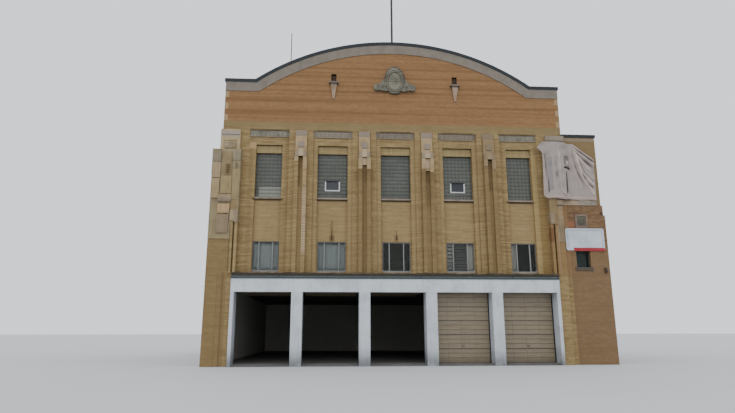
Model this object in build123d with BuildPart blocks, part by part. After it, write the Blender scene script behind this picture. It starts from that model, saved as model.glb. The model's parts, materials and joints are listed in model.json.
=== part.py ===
"""Two-storey fire station over five engine bays, with ribbed brick piers and an arched gable.

The model is in millimetres. X runs to the right along the facade from its central axis,
Y runs into the building from the facade's wall face, and Z is height above the ground.
"""

import os
from math import sqrt

from build123d import *

os.makedirs("parts", exist_ok=True)

# Main block
depth = 20000
wall = 400
bay_pitch = 3420
slab_thickness = 100
ramp_toe = 15
floor_thickness = 250
first_floor_z = 4200
second_floor_z = 7950

# Engine bays: door openings between white pillars, under a white fascia
door_head_z = 3630
pillar_width = 560
end_pillar_width = 170
corner_leg_width = 920
portal_projection = 450
fascia_height = 690
flashing_height = 240
flashing_overhang = 40
flashing_slope_width = 110
flashing_slope_drop = 70
flashing_drip = 30
flashing_metal = 20

# Sectional doors: closed in the two right-hand bays, raised under the ceiling in the others
door_setback = 300
door_thickness = 60
raised_door_gap = 50
raised_door_length = 3400
door_sections = 5
door_columns = 4
door_rail = 110
door_panel_depth = 18

# Windows: glass block above, framed lights below
strip_depth = 140
lintel_height = 430
upper_sill_z = 8640
upper_window_height = 2460
inner_upper_width = 1616
outer_upper_width = 1405
lower_sill_z = 4720
lower_window_height = 1560
inner_lower_width = 1500
outer_lower_width = 1383
window_setback = 260
lower_setback = 150
block_thickness = 100
frame_bar = 55
frame_depth = 80
mullion_share = 0.245
glass_thickness = 12
upper_sill_height = 90
lower_sill_height = 90
sill_projection = 100
block_columns = 8
block_rows = 12
hopper_columns = 4
hopper_rows = 3
hopper_first_row = 2
hopper_bar = 60
hopper_proud = 40

# Carved frieze panels over the bays
surround_half = 1060
frieze_base_z = 12005
frieze_height = 360
frieze_inset = 45
frieze_thickness = 150

# Gable: square shoulders, a segmental arch, a stone band and a metal coping
gable_base_z = 12870
shoulder_z = 15350
shoulder_width = 1610
arch_rise = 2500
band_height = 720
band_facing = 150
band_proud = 30
coping_height = 180
coping_overhang = 60

# Gable ornaments
vent_x = bay_pitch
vent_base_z = 15290
vent_width = 290
vent_height = 500
vent_depth = 250
ledge_width = 520
ledge_height = 105
ledge_projection = 200
bracket_width = 350
bracket_height = 890
bracket_projection = 140
bracket_tip = 100
bracket_tip_projection = 45
medallion_z = 15400
medallion_dome_z = 15470
medallion_dome_width = 1150
medallion_dome_height = 1660
medallion_oval_width = 880
medallion_oval_height = 1240
medallion_half_span = 1180
medallion_scroll_z = 15020
medallion_scroll_radius = 210
medallion_arm_x = 530
medallion_arm_length = 940
medallion_arm_height = 560
medallion_arm_lift = 60
medallion_foot_width = 630
medallion_foot_height = 250
medallion_foot_z = 14760
medallion_relief = 120
medallion_boss = 60
medallion_rim = 80
medallion_sunk = 30

# Ribbed piers between the bays
step_half = 650
step_projection = 120
rib_width = 205
groove_width = 250
rib_projection = 350
rib_base_height = 170
rib_base_proud = 20
arm_top_z = 10820
shoulder_stone_height = 300
capital_top_z = 12350
capital_cap_height = 340
capital_width = 600
capital_shaft_projection = 240
capital_cap_projection = 160
capital_key_width = 300
capital_key_height = 300
capital_key_proud = 45
capital_key_z = 11370
arm_lengths = [(290, 740), (660, 670), (600, 780), (400, 540)]
tongue_lengths = [0, 420, 690, 0]
tongue_setback = 60
arm_proud = 30

# Corner piers with carved stone heads
corner_outer = 410
corner_width = 1100
corner_right_cut = 340
corner_return = 1200
corner_projection = 250
corner_rib_width = 150
corner_rib_gap = 90
corner_rib_projection = 300
head_base_z = 6330
head_top_z = 11150
head_width = 1490
head_projection = 340
head_side_width = 400
head_core_inset = 60
head_left_base_z = 9740
head_right_base_z = 7260
head_band_z = 8330
head_band_height = 240
head_band_proud = 40
cap_width = 1030
cap_projection = 180
cap_crown_height = 290
cap_crown_proud = 40
cap_panel_margin = 160
cap_panel_height = 380
cap_panel_depth = 30
cap_panel_z = 11320

# Roof vault, rear gable and parapets
roof_drop = 670
roof_thickness = 250
rear_parapet = 250
side_parapet_z = 14550
side_coping_height = 130
plinth_half = 250
plinth_height = 180
mast_y = 1100
mast_radius = 65
mast_top_z = 23000
mast_ball_radius = 110
mast_foot_radius = 150
mast_foot_height = 90
rod_x = -5880
rod_radius = 25
rod_rise = 2080
rod_roof_gap = 300
rod_clip_height = 60
rod_clip_width = 110
rod_clip_depth = 60
rod_stand_off = 60

# Side and rear windows repeat the facade's two rows
side_bays = 5

# Wing on the right side
wing_width = 1920
wing_depth = 8000
wing_wall = 300
wing_top_z = 12320
wing_roof_z = 11800
wing_coping_height = 160
wing_coping_overhang = 50
wing_step = 95
wing_step_z = 7850
wing_step_rise = 550
wing_band_z = 8390
wing_band_height = 280
wing_band_x = -210
wing_band_width = 1900
wing_band_proud = 40
wing_window_x = 700
wing_window_width = 780
wing_window_height = 880
wing_window_sill_z = 5000
wing_sill_height = 170
wing_sill_extra = 180
wing_upper_window_z = 9200
wing_side_window_pitch = 3200
wing_window_bar = 50
plaque_x = 740
plaque_width = 680
plaque_height = 740
plaque_base_z = 7140
plaque_proud = 60
plaque_border = 90
plaque_sunk = 30
sign_x = -210
sign_width = 2140
sign_base_z = 5910
sign_height = 1200
sign_thickness = 30
lamp_x = 1870
lamp_z = 4820
lamp_radius = 75
lamp_rounding = 30
lamp_reach = 130

# Tarpaulin hung over the right corner
tarp_thickness = 20
tarp_left = 8050
tarp_margin = 160
tarp_top_z = 11900
tarp_drop = 3200
tarp_cut_width = 1150
tarp_cut_height = 900
tarp_cap_y = -200
tarp_wing_gap = 280

# Values worked out from the driving dimensions
door_half = (bay_pitch - pillar_width) / 2
portal_half = 2 * bay_pitch + door_half + end_pillar_width
half_width = portal_half + corner_leg_width
hopper_width = hopper_columns * inner_upper_width / block_columns
hopper_height = hopper_rows * upper_window_height / block_rows
hopper_base_z = upper_sill_z + hopper_first_row * upper_window_height / block_rows
arch_half = half_width - shoulder_width
arch_radius = (arch_half**2 + arch_rise**2) / (2 * arch_rise)
arch_centre_z = shoulder_z + arch_rise - arch_radius
fascia_top_z = door_head_z + fascia_height
flashing_top_z = fascia_top_z + flashing_height
pier_base_z = flashing_top_z
bay_xs = [bay_pitch * i for i in (-2, -1, 0, 1, 2)]
pier_xs = [bay_pitch * i for i in (-1.5, -0.5, 0.5, 1.5)]
upper_widths = [outer_upper_width] + [inner_upper_width] * 3 + [outer_upper_width]
lower_widths = [outer_lower_width] + [inner_lower_width] * 3 + [outer_lower_width]
inside_half = half_width - wall
inside_depth = depth - 2 * wall
side_xs = [bay_pitch * (i - (side_bays - 1) / 2) for i in range(side_bays)]
side_clear_xs = [u for u in side_xs if u + depth / 2 - inner_upper_width / 2 > wing_depth]
side_row_upper = [inner_upper_width] * side_bays
side_row_lower = [inner_lower_width] * side_bays
wing_outer = half_width + wing_width

front_face = Plane.XZ
left_face = Plane(origin=(-half_width, depth / 2, 0), x_dir=(0, -1, 0), z_dir=(-1, 0, 0))
right_face = Plane(origin=(half_width, depth / 2, 0), x_dir=(0, 1, 0), z_dir=(1, 0, 0))
rear_face = Plane(origin=(0, depth, 0), x_dir=(-1, 0, 0), z_dir=(0, 1, 0))


def save(piece, name):
    """Label a finished piece and write it to its own file."""
    piece.part.label = name
    export_step(piece.part, f"parts/{name}.step")


def block(x0, x1, y0, y1, z0, z1, mode=Mode.ADD):
    """Add or cut a block, given by its faces, in the piece that is being built."""
    with Locations(((x0 + x1) / 2, (y0 + y1) / 2, (z0 + z1) / 2)):
        Box(x1 - x0, y1 - y0, z1 - z0, mode=mode)


def arch_half_at(radius, z):
    """Half the width of a circle about the arch's centre, at a height."""
    return sqrt(radius**2 - (z - arch_centre_z) ** 2)


def arch_z_at(radius, x):
    """Height of a circle about the arch's centre, at a distance from the axis."""
    return arch_centre_z + sqrt(radius**2 - x**2)


def row_holes(face, centres, widths, sill_z, height, sill_height):
    """Cut one row of windows, each with the bed of its sill, right through a wall."""
    for u, width in zip(centres, widths):
        with BuildSketch(face) as hole:
            with Locations((u, sill_z + (height - sill_height) / 2)):
                Rectangle(width, height + sill_height)
        extrude(hole.sketch, amount=-wall, mode=Mode.SUBTRACT)


def row_panes(face, centres, widths, base_z, height, front, thickness):
    """Add one row of upright panes, set back from the wall face by front."""
    for u, width in zip(centres, widths):
        with BuildSketch(face.offset(-front)) as pane:
            with Locations((u, base_z + height / 2)):
                Rectangle(width, height)
        extrude(pane.sketch, amount=-thickness)


def row_frames(face, centres, widths, base_z, height, front):
    """Add one row of three-light frames, set back from the wall face by front."""
    for u, width in zip(centres, widths):
        with BuildSketch(face.offset(-front)) as frame:
            with Locations((u, base_z + height / 2)):
                Rectangle(width, height)
                Rectangle(width - 2 * frame_bar, height - 2 * frame_bar, mode=Mode.SUBTRACT)
                for side in (-1, 1):
                    with Locations((side * width * (0.5 - mullion_share), 0)):
                        Rectangle(frame_bar, height)
        extrude(frame.sketch, amount=-frame_depth)


# Floors
with BuildPart() as ground_slab:
    block(-inside_half, inside_half, wall, depth - wall, 0, slab_thickness)
    for x in bay_xs:
        with BuildSketch(Plane.YZ.offset(x - door_half)):
            with BuildLine():
                Polyline(
                    (-portal_projection, 0),
                    (wall, 0),
                    (wall, slab_thickness),
                    (0, slab_thickness),
                    (-portal_projection, ramp_toe),
                    close=True,
                )
            make_face()
        extrude(amount=2 * door_half)
save(ground_slab, "ground_slab")

with BuildPart() as upper_floors:
    for top_z in (first_floor_z, second_floor_z):
        block(-inside_half, inside_half, wall, depth - wall, top_z - floor_thickness, top_z)
save(upper_floors, "upper_floors")

# Front wall over the doors, with a shallow strip down each bay
with BuildPart() as front_wall:
    block(-half_width, half_width, 0, wall, door_head_z, gable_base_z)
    strip_top = upper_sill_z + upper_window_height + lintel_height
    for x, width in zip(bay_xs, upper_widths):
        block(x - width / 2, x + width / 2, 0, strip_depth, pier_base_z, strip_top, Mode.SUBTRACT)
        block(
            x - surround_half,
            x + surround_half,
            0,
            frieze_inset + frieze_thickness,
            frieze_base_z,
            frieze_base_z + frieze_height,
            Mode.SUBTRACT,
        )
    row_holes(front_face, bay_xs, upper_widths, upper_sill_z, upper_window_height, upper_sill_height)
    row_holes(front_face, bay_xs, lower_widths, lower_sill_z, lower_window_height, lower_sill_height)
save(front_wall, "front_wall")

with BuildPart() as frieze_panels:
    for x in bay_xs:
        block(
            x - surround_half,
            x + surround_half,
            frieze_inset,
            frieze_inset + frieze_thickness,
            frieze_base_z,
            frieze_base_z + frieze_height,
        )
save(frieze_panels, "frieze_panels")

# Gable wall with its arched top
coping_radius = arch_radius - coping_height
band_radius = arch_radius - band_height
coping_base_z = shoulder_z - coping_height
band_base_z = shoulder_z - band_height
crest_z = shoulder_z + arch_rise
with BuildPart() as gable_wall:
    with BuildSketch(front_face):
        with BuildLine():
            coping_half = arch_half_at(coping_radius, coping_base_z)
            Polyline(
                (-coping_half, coping_base_z),
                (-half_width, coping_base_z),
                (-half_width, gable_base_z),
                (half_width, gable_base_z),
                (half_width, coping_base_z),
                (coping_half, coping_base_z),
            )
            ThreePointArc(
                (coping_half, coping_base_z),
                (0, crest_z - coping_height),
                (-coping_half, coping_base_z),
            )
        make_face()
    extrude(amount=-wall)
    with BuildSketch(front_face):
        with BuildLine():
            band_half = arch_half_at(band_radius, band_base_z)
            Polyline(
                (-band_half, band_base_z),
                (-half_width, band_base_z),
                (-half_width, crest_z),
                (half_width, crest_z),
                (half_width, band_base_z),
                (band_half, band_base_z),
            )
            ThreePointArc(
                (band_half, band_base_z),
                (0, crest_z - band_height),
                (-band_half, band_base_z),
            )
        make_face()
    extrude(amount=-band_facing, mode=Mode.SUBTRACT)
    for x in (-vent_x, vent_x):
        block(
            x - vent_width / 2,
            x + vent_width / 2,
            0,
            vent_depth,
            vent_base_z,
            vent_base_z + vent_height,
            Mode.SUBTRACT,
        )
save(gable_wall, "gable_wall")

with BuildPart() as gable_band:
    with BuildSketch(front_face.offset(band_proud)):
        with BuildLine():
            Polyline(
                (-coping_half, coping_base_z),
                (-half_width, coping_base_z),
                (-half_width, band_base_z),
                (-band_half, band_base_z),
            )
            ThreePointArc((-band_half, band_base_z), (0, crest_z - band_height), (band_half, band_base_z))
            Polyline(
                (band_half, band_base_z),
                (half_width, band_base_z),
                (half_width, coping_base_z),
                (coping_half, coping_base_z),
            )
            ThreePointArc(
                (coping_half, coping_base_z),
                (0, crest_z - coping_height),
                (-coping_half, coping_base_z),
            )
        make_face()
    extrude(amount=-(band_proud + band_facing))
save(gable_band, "gable_band")

with BuildPart() as gable_coping:
    with BuildSketch(front_face.offset(coping_overhang)):
        with BuildLine():
            coping_end = half_width + coping_overhang
            Polyline(
                (-arch_half, shoulder_z),
                (-coping_end, shoulder_z),
                (-coping_end, coping_base_z),
                (-coping_half, coping_base_z),
            )
            ThreePointArc(
                (-coping_half, coping_base_z),
                (0, crest_z - coping_height),
                (coping_half, coping_base_z),
            )
            Polyline(
                (coping_half, coping_base_z),
                (coping_end, coping_base_z),
                (coping_end, shoulder_z),
                (arch_half, shoulder_z),
            )
            ThreePointArc((arch_half, shoulder_z), (0, crest_z), (-arch_half, shoulder_z))
        make_face()
    extrude(amount=-(wall + 2 * coping_overhang))
save(gable_coping, "gable_coping")

# Two vents in the gable, each over a ledge and a tapered bracket
with BuildPart() as vent_brackets:
    for x in (-vent_x, vent_x):
        block(
            x - ledge_width / 2,
            x + ledge_width / 2,
            -ledge_projection,
            0,
            vent_base_z - ledge_height,
            vent_base_z,
        )
        bracket_top_z = vent_base_z - ledge_height
        with BuildSketch(Plane.XY.offset(bracket_top_z)) as bracket_top:
            with Locations((x, -bracket_projection / 2)):
                Rectangle(bracket_width, bracket_projection)
        with BuildSketch(Plane.XY.offset(bracket_top_z - bracket_height)) as bracket_foot:
            with Locations((x, -bracket_tip_projection / 2)):
                Rectangle(bracket_tip, bracket_tip_projection)
        loft([bracket_foot.sketch, bracket_top.sketch])
save(vent_brackets, "vent_brackets")

# Cartouche on the gable: a domed shield with an oval boss and a scroll each side
with BuildPart() as medallion:
    with BuildSketch(front_face) as shield:
        with Locations((0, medallion_dome_z)):
            Ellipse(medallion_dome_width / 2, medallion_dome_height / 2)
        for side in (-1, 1):
            with Locations((side * (medallion_half_span - medallion_scroll_radius), medallion_scroll_z)):
                Circle(medallion_scroll_radius)
            with Locations((side * medallion_arm_x, medallion_scroll_z + medallion_arm_lift)):
                Ellipse(medallion_arm_length / 2, medallion_arm_height / 2)
        with Locations((0, medallion_foot_z)):
            Ellipse(medallion_foot_width / 2, medallion_foot_height / 2)
    extrude(shield.sketch, amount=medallion_relief)
    with BuildSketch(front_face.offset(medallion_relief)) as oval:
        with Locations((0, medallion_z)):
            Ellipse(medallion_oval_width / 2, medallion_oval_height / 2)
    extrude(oval.sketch, amount=medallion_boss)
    with BuildSketch(front_face.offset(medallion_relief + medallion_boss)) as field:
        with Locations((0, medallion_z)):
            Ellipse(medallion_oval_width / 2 - medallion_rim, medallion_oval_height / 2 - medallion_rim)
    extrude(field.sketch, amount=-medallion_sunk, mode=Mode.SUBTRACT)
save(medallion, "medallion")

# Ribbed brick piers, their plan drawn once and raised from the flashing to the arms
for number, x in enumerate(pier_xs, start=1):
    rib_outer = groove_width / 2 + rib_width
    with BuildPart() as pier:
        with BuildSketch(Plane.XY.offset(pier_base_z)):
            with Locations((x, -step_projection / 2)):
                Rectangle(2 * step_half, step_projection)
        extrude(amount=capital_top_z - pier_base_z)
        with BuildSketch(Plane.XY.offset(pier_base_z)) as rib_plan:
            with Locations((x, -rib_projection / 2)):
                Rectangle(2 * rib_outer, rib_projection)
                with Locations((0, -step_projection / 2)):
                    Rectangle(groove_width, rib_projection - step_projection, mode=Mode.SUBTRACT)
        extrude(amount=arm_top_z - pier_base_z)
        with BuildSketch(Plane.XY.offset(pier_base_z)):
            with Locations((x - rib_outer + rib_width / 2, 0), (x + rib_outer - rib_width / 2, 0)):
                with Locations((0, -rib_projection / 2)):
                    Rectangle(rib_width, rib_projection + 2 * rib_base_proud)
            with Locations((x, 0)):
                Rectangle(2 * step_half, 2 * step_projection, mode=Mode.SUBTRACT)
        extrude(amount=rib_base_height)
    save(pier, f"pier_{number}")

# Stone capitals: a stepped profile over each pier, with two uneven arms down the ribs
with BuildPart() as capitals:
    rib_centre = (groove_width + rib_width) / 2
    cap_base_z = capital_top_z - capital_cap_height
    shoulder_base_z = arm_top_z
    for x, arms, tongue in zip(pier_xs, arm_lengths, tongue_lengths):
        with BuildSketch(Plane.YZ.offset(x - capital_width / 2)) as profile:
            with BuildLine():
                Polyline(
                    (-step_projection, shoulder_base_z),
                    (-rib_projection - arm_proud, shoulder_base_z),
                    (-rib_projection - arm_proud, shoulder_base_z + shoulder_stone_height),
                    (-capital_shaft_projection, shoulder_base_z + shoulder_stone_height),
                    (-capital_shaft_projection, cap_base_z),
                    (-capital_cap_projection, cap_base_z),
                    (-capital_cap_projection, capital_top_z),
                    (-step_projection, capital_top_z),
                    close=True,
                )
            make_face()
        extrude(profile.sketch, amount=capital_width)
        block(
            x - capital_key_width / 2,
            x + capital_key_width / 2,
            -capital_shaft_projection - capital_key_proud,
            -capital_shaft_projection,
            capital_key_z,
            capital_key_z + capital_key_height,
        )
        for side, length in zip((-1, 1), arms):
            arm_x = x + side * rib_centre
            block(
                arm_x - rib_width / 2,
                arm_x + rib_width / 2,
                -rib_projection - arm_proud,
                -rib_projection,
                arm_top_z - length,
                arm_top_z,
            )
        if tongue:
            block(
                x - groove_width / 2,
                x + groove_width / 2,
                tongue_setback - rib_projection,
                -step_projection,
                arm_top_z - tongue,
                arm_top_z,
            )
save(capitals, "capitals")

# Corner piers of brick. The left one wraps the free corner; the wing meets the right one.
corner_edge = half_width + corner_outer
corner_inner = corner_edge - corner_width
head_inner = corner_edge - head_width
corner_right_edge = half_width - corner_right_cut
corner_sides = ((-1, corner_edge), (1, corner_right_edge))


def corner_plan(side, inner, outer, front, back):
    """Sketch a corner pier's plan: a front strip, its wall, and a return where it passes the corner."""
    edge = min(outer, half_width)
    with Locations((side * (inner + edge) / 2, -front / 2)):
        Rectangle(edge - inner, front)
    if back > 0:
        with Locations((side * (inner + half_width) / 2, back / 2)):
            Rectangle(half_width - inner, back)
    if outer > half_width:
        with Locations((side * (half_width + outer) / 2, (corner_return - front) / 2)):
            Rectangle(outer - half_width, corner_return + front)


with BuildPart() as corner_piers:
    for side, outer in corner_sides:
        with BuildSketch(Plane.XY) as leg_plan:
            corner_plan(side, portal_half, outer, corner_projection, wall)
        extrude(leg_plan.sketch, amount=door_head_z)
        with BuildSketch(Plane.XY.offset(door_head_z)) as base_plan:
            corner_plan(side, portal_half, outer, corner_projection, 0)
        extrude(base_plan.sketch, amount=pier_base_z - door_head_z)
        with BuildSketch(Plane.XY.offset(pier_base_z)) as shaft_plan:
            corner_plan(side, corner_inner, outer, corner_projection, 0)
        extrude(shaft_plan.sketch, amount=head_base_z - pier_base_z)
        with BuildSketch(Plane.XY.offset(pier_base_z)) as rib_plan:
            with Locations((side * (head_inner + corner_inner) / 2, -step_projection / 2)):
                Rectangle(corner_inner - head_inner, step_projection)
            for start in (head_inner, head_inner + corner_rib_width + corner_rib_gap):
                with Locations((side * (start + corner_rib_width / 2), -corner_rib_projection / 2)):
                    Rectangle(corner_rib_width, corner_rib_projection)
        extrude(rib_plan.sketch, amount=head_right_base_z - pier_base_z)
save(corner_piers, "corner_piers")

# Carved stone heads of the corner piers, stepped in plan and in height
head_core_projection = head_projection - head_core_inset
with BuildPart() as corner_heads:
    for side, outer in corner_sides:
        with BuildSketch(Plane.XY.offset(head_base_z)) as core_plan:
            corner_plan(side, corner_inner, outer, head_core_projection, 0)
        extrude(core_plan.sketch, amount=head_top_z - head_base_z)
        with BuildSketch(Plane.XY.offset(head_right_base_z)) as inner_plan:
            with Locations((side * (head_inner + corner_inner) / 2, -head_projection / 2)):
                Rectangle(corner_inner - head_inner, head_projection)
        extrude(inner_plan.sketch, amount=head_top_z - head_right_base_z)
        with BuildSketch(Plane.XY.offset(head_left_base_z)) as outer_plan:
            with Locations((side * (outer - head_side_width / 2), -head_projection / 2)):
                Rectangle(head_side_width, head_projection)
        extrude(outer_plan.sketch, amount=head_top_z - head_left_base_z)
        band_edge = min(outer, half_width)
        with BuildSketch(Plane.XY.offset(head_band_z)) as band_plan:
            with Locations((side * (corner_inner + band_edge) / 2, -(head_projection + head_band_proud) / 2)):
                Rectangle(band_edge - corner_inner, head_projection + head_band_proud)
        extrude(band_plan.sketch, amount=head_band_height)
save(corner_heads, "corner_heads")

# Cap over each corner head, with a sunk panel under its crown
with BuildPart() as corner_caps:
    cap_outer = half_width + coping_overhang
    for side in (-1, 1):
        cap_x = side * (cap_outer - cap_width / 2)
        with BuildSketch(Plane.XY.offset(head_top_z)) as cap_plan:
            with Locations((cap_x, -cap_projection / 2)):
                Rectangle(cap_width, cap_projection)
        extrude(cap_plan.sketch, amount=wing_top_z - head_top_z)
        with BuildSketch(Plane.XY.offset(wing_top_z - cap_crown_height)) as crown_plan:
            with Locations((cap_x, -(cap_projection + cap_crown_proud) / 2)):
                Rectangle(cap_width, cap_projection + cap_crown_proud)
        extrude(crown_plan.sketch, amount=cap_crown_height)
        with BuildSketch(front_face.offset(cap_projection)) as panel:
            with Locations((cap_x, cap_panel_z + cap_panel_height / 2)):
                Rectangle(cap_width - 2 * cap_panel_margin, cap_panel_height)
        extrude(panel.sketch, amount=-cap_panel_depth, mode=Mode.SUBTRACT)
save(corner_caps, "corner_caps")

# White portal round the engine bays
with BuildPart() as fascia:
    block(-portal_half, portal_half, -portal_projection, 0, door_head_z, fascia_top_z)
save(fascia, "fascia")

with BuildPart() as flashing:
    with BuildSketch(Plane.YZ.offset(-portal_half)):
        with BuildLine():
            flashing_front = portal_projection + flashing_overhang
            Polyline(
                (0, fascia_top_z),
                (0, flashing_top_z),
                (flashing_slope_width - flashing_front, flashing_top_z),
                (-flashing_front, flashing_top_z - flashing_slope_drop),
                (-flashing_front, fascia_top_z - flashing_drip),
                (flashing_metal - flashing_front, fascia_top_z - flashing_drip),
                (flashing_metal - flashing_front, fascia_top_z),
                close=True,
            )
        make_face()
    extrude(amount=2 * portal_half)
save(flashing, "flashing")

with BuildPart() as door_pillars:
    for x in pier_xs:
        block(
            x - pillar_width / 2,
            x + pillar_width / 2,
            -portal_projection,
            wall,
            0,
            door_head_z,
        )
    for side in (-1, 1):
        with Locations((side * (portal_half - end_pillar_width / 2), (wall - portal_projection) / 2, 0)):
            Box(
                end_pillar_width,
                wall + portal_projection,
                door_head_z,
                align=(Align.CENTER, Align.CENTER, Align.MIN),
            )
save(door_pillars, "door_pillars")

# Sectional doors, closed in two bays and raised in three
with BuildPart() as bay_doors:
    door_height = door_head_z - slab_thickness
    section_height = door_height / door_sections
    column_width = 2 * door_half / door_columns
    for x in bay_xs[3:]:
        block(
            x - door_half,
            x + door_half,
            door_setback,
            door_setback + door_thickness,
            slab_thickness,
            door_head_z,
        )
        with BuildSketch(front_face.offset(-door_setback)) as sunk_panels:
            with Locations((x, slab_thickness + door_height / 2)):
                with GridLocations(column_width, section_height, door_columns, door_sections):
                    Rectangle(column_width - door_rail, section_height - door_rail)
        extrude(sunk_panels.sketch, amount=-door_panel_depth, mode=Mode.SUBTRACT)
    raised_z = door_head_z + raised_door_gap
    for x in bay_xs[:3]:
        block(
            x - door_half,
            x + door_half,
            wall,
            wall + raised_door_length,
            raised_z,
            raised_z + door_thickness,
        )
save(bay_doors, "bay_doors")

# Side walls, rear wall and their two rows of windows
with BuildPart() as left_wall:
    block(-half_width, -inside_half, wall, depth - wall, 0, side_parapet_z)
    row_holes(left_face, side_xs, side_row_upper, upper_sill_z, upper_window_height, upper_sill_height)
    row_holes(left_face, side_xs, side_row_lower, lower_sill_z, lower_window_height, lower_sill_height)
save(left_wall, "left_wall")

with BuildPart() as right_wall:
    block(inside_half, half_width, wall, depth - wall, 0, side_parapet_z)
    row_holes(right_face, side_clear_xs, side_row_upper, upper_sill_z, upper_window_height, upper_sill_height)
    row_holes(right_face, side_clear_xs, side_row_lower, lower_sill_z, lower_window_height, lower_sill_height)
save(right_wall, "right_wall")

roof_radius = arch_radius - roof_drop
rear_radius = roof_radius + rear_parapet
with BuildPart() as rear_wall:
    with BuildSketch(Plane.XZ.offset(-depth)):
        with BuildLine():
            rear_half = arch_half_at(rear_radius, side_parapet_z)
            Polyline(
                (-rear_half, side_parapet_z),
                (-half_width, side_parapet_z),
                (-half_width, 0),
                (half_width, 0),
                (half_width, side_parapet_z),
                (rear_half, side_parapet_z),
            )
            ThreePointArc(
                (rear_half, side_parapet_z),
                (0, arch_z_at(rear_radius, 0)),
                (-rear_half, side_parapet_z),
            )
        make_face()
    extrude(amount=wall)
    row_holes(rear_face, bay_xs, side_row_upper, upper_sill_z, upper_window_height, upper_sill_height)
    row_holes(rear_face, bay_xs, side_row_lower, lower_sill_z, lower_window_height, lower_sill_height)
save(rear_wall, "rear_wall")

# Roof vault between the side walls, and metal copings on the other parapets
with BuildPart() as roof_vault:
    vault_under_radius = roof_radius - roof_thickness
    with BuildSketch(Plane.XZ.offset(-wall)):
        with BuildLine():
            outer_z = arch_z_at(roof_radius, inside_half)
            under_z = arch_z_at(vault_under_radius, inside_half)
            ThreePointArc((-inside_half, outer_z), (0, arch_z_at(roof_radius, 0)), (inside_half, outer_z))
            Line((inside_half, outer_z), (inside_half, under_z))
            ThreePointArc(
                (inside_half, under_z),
                (0, arch_z_at(vault_under_radius, 0)),
                (-inside_half, under_z),
            )
            Line((-inside_half, under_z), (-inside_half, outer_z))
        make_face()
    extrude(amount=-inside_depth)
    roof_crest_z = arch_z_at(roof_radius, 0)
    block(
        -plinth_half,
        plinth_half,
        mast_y - plinth_half,
        mast_y + plinth_half,
        roof_crest_z - roof_thickness / 2,
        roof_crest_z + plinth_height,
    )
save(roof_vault, "roof_vault")

with BuildPart() as side_copings:
    for side in (-1, 1):
        block(
            side * (half_width - wall / 2) - wall / 2 - coping_overhang,
            side * (half_width - wall / 2) + wall / 2 + coping_overhang,
            wall,
            depth - wall - coping_overhang,
            side_parapet_z,
            side_parapet_z + side_coping_height,
        )
save(side_copings, "side_copings")

with BuildPart() as rear_coping:
    with BuildSketch(Plane.XZ.offset(-depth - coping_overhang)):
        with BuildLine():
            rear_top_z = side_parapet_z + side_coping_height
            rear_top_half = arch_half_at(rear_radius + side_coping_height, rear_top_z)
            Polyline(
                (-rear_top_half, rear_top_z),
                (-coping_end, rear_top_z),
                (-coping_end, side_parapet_z),
                (-rear_half, side_parapet_z),
            )
            ThreePointArc(
                (-rear_half, side_parapet_z),
                (0, arch_z_at(rear_radius, 0)),
                (rear_half, side_parapet_z),
            )
            Polyline(
                (rear_half, side_parapet_z),
                (coping_end, side_parapet_z),
                (coping_end, rear_top_z),
                (rear_top_half, rear_top_z),
            )
            ThreePointArc(
                (rear_top_half, rear_top_z),
                (0, arch_z_at(rear_radius + side_coping_height, 0)),
                (-rear_top_half, rear_top_z),
            )
        make_face()
    extrude(amount=wall + 2 * coping_overhang)
save(rear_coping, "rear_coping")

# Flag mast on the vault's plinth, and a rod clipped behind the gable
with BuildPart() as mast:
    plinth_top_z = roof_crest_z + plinth_height
    with Locations((0, mast_y, plinth_top_z)):
        Cylinder(mast_foot_radius, mast_foot_height, align=(Align.CENTER, Align.CENTER, Align.MIN))
        Cylinder(mast_radius, mast_top_z - plinth_top_z, align=(Align.CENTER, Align.CENTER, Align.MIN))
    with Locations((0, mast_y, mast_top_z)):
        Sphere(mast_ball_radius)
save(mast, "mast")

with BuildPart() as roof_rod:
    rod_y = wall + coping_overhang + rod_stand_off
    rod_base_z = arch_z_at(roof_radius, rod_x) + rod_roof_gap
    rod_top_z = arch_z_at(arch_radius, rod_x) + rod_rise
    gable_top_at_rod = arch_z_at(coping_radius, rod_x)
    with Locations((rod_x, rod_y, rod_base_z)):
        Cylinder(rod_radius, rod_top_z - rod_base_z, align=(Align.CENTER, Align.CENTER, Align.MIN))
    for clip_z in (rod_base_z, gable_top_at_rod - rod_clip_depth - rod_clip_height):
        block(
            rod_x - rod_clip_width / 2,
            rod_x + rod_clip_width / 2,
            wall,
            rod_y,
            clip_z,
            clip_z + rod_clip_height,
        )
save(roof_rod, "roof_rod")

# Wing: front and rear walls outlined with the two small steps of its outer side
lower_outer = wing_outer + 2 * wing_step
middle_outer = wing_outer + wing_step


def wing_outline(z_top):
    """Sketch the wing's end elevation, stepped out twice down its outer side."""
    with BuildLine() as outline_edges:
        Polyline(
            (half_width, 0),
            (lower_outer, 0),
            (lower_outer, wing_step_z),
            (middle_outer, wing_step_z),
            (middle_outer, wing_step_z + wing_step_rise),
            (wing_outer, wing_step_z + wing_step_rise),
            (wing_outer, z_top),
            (half_width, z_top),
            close=True,
        )
    make_face(outline_edges.edges())


wing_window_centre = half_width + wing_window_x
with BuildPart() as wing_front:
    with BuildSketch(front_face) as outline:
        wing_outline(wing_top_z)
    extrude(outline.sketch, amount=-wing_wall)
    block(
        wing_window_centre - wing_window_width / 2,
        wing_window_centre + wing_window_width / 2,
        0,
        wing_wall,
        wing_window_sill_z,
        wing_window_sill_z + wing_window_height,
        Mode.SUBTRACT,
    )
save(wing_front, "wing_front")

with BuildPart() as wing_rear:
    with BuildSketch(Plane.XZ.offset(-wing_depth)) as outline:
        wing_outline(wing_top_z)
    extrude(outline.sketch, amount=wing_wall)
save(wing_rear, "wing_rear")

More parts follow.
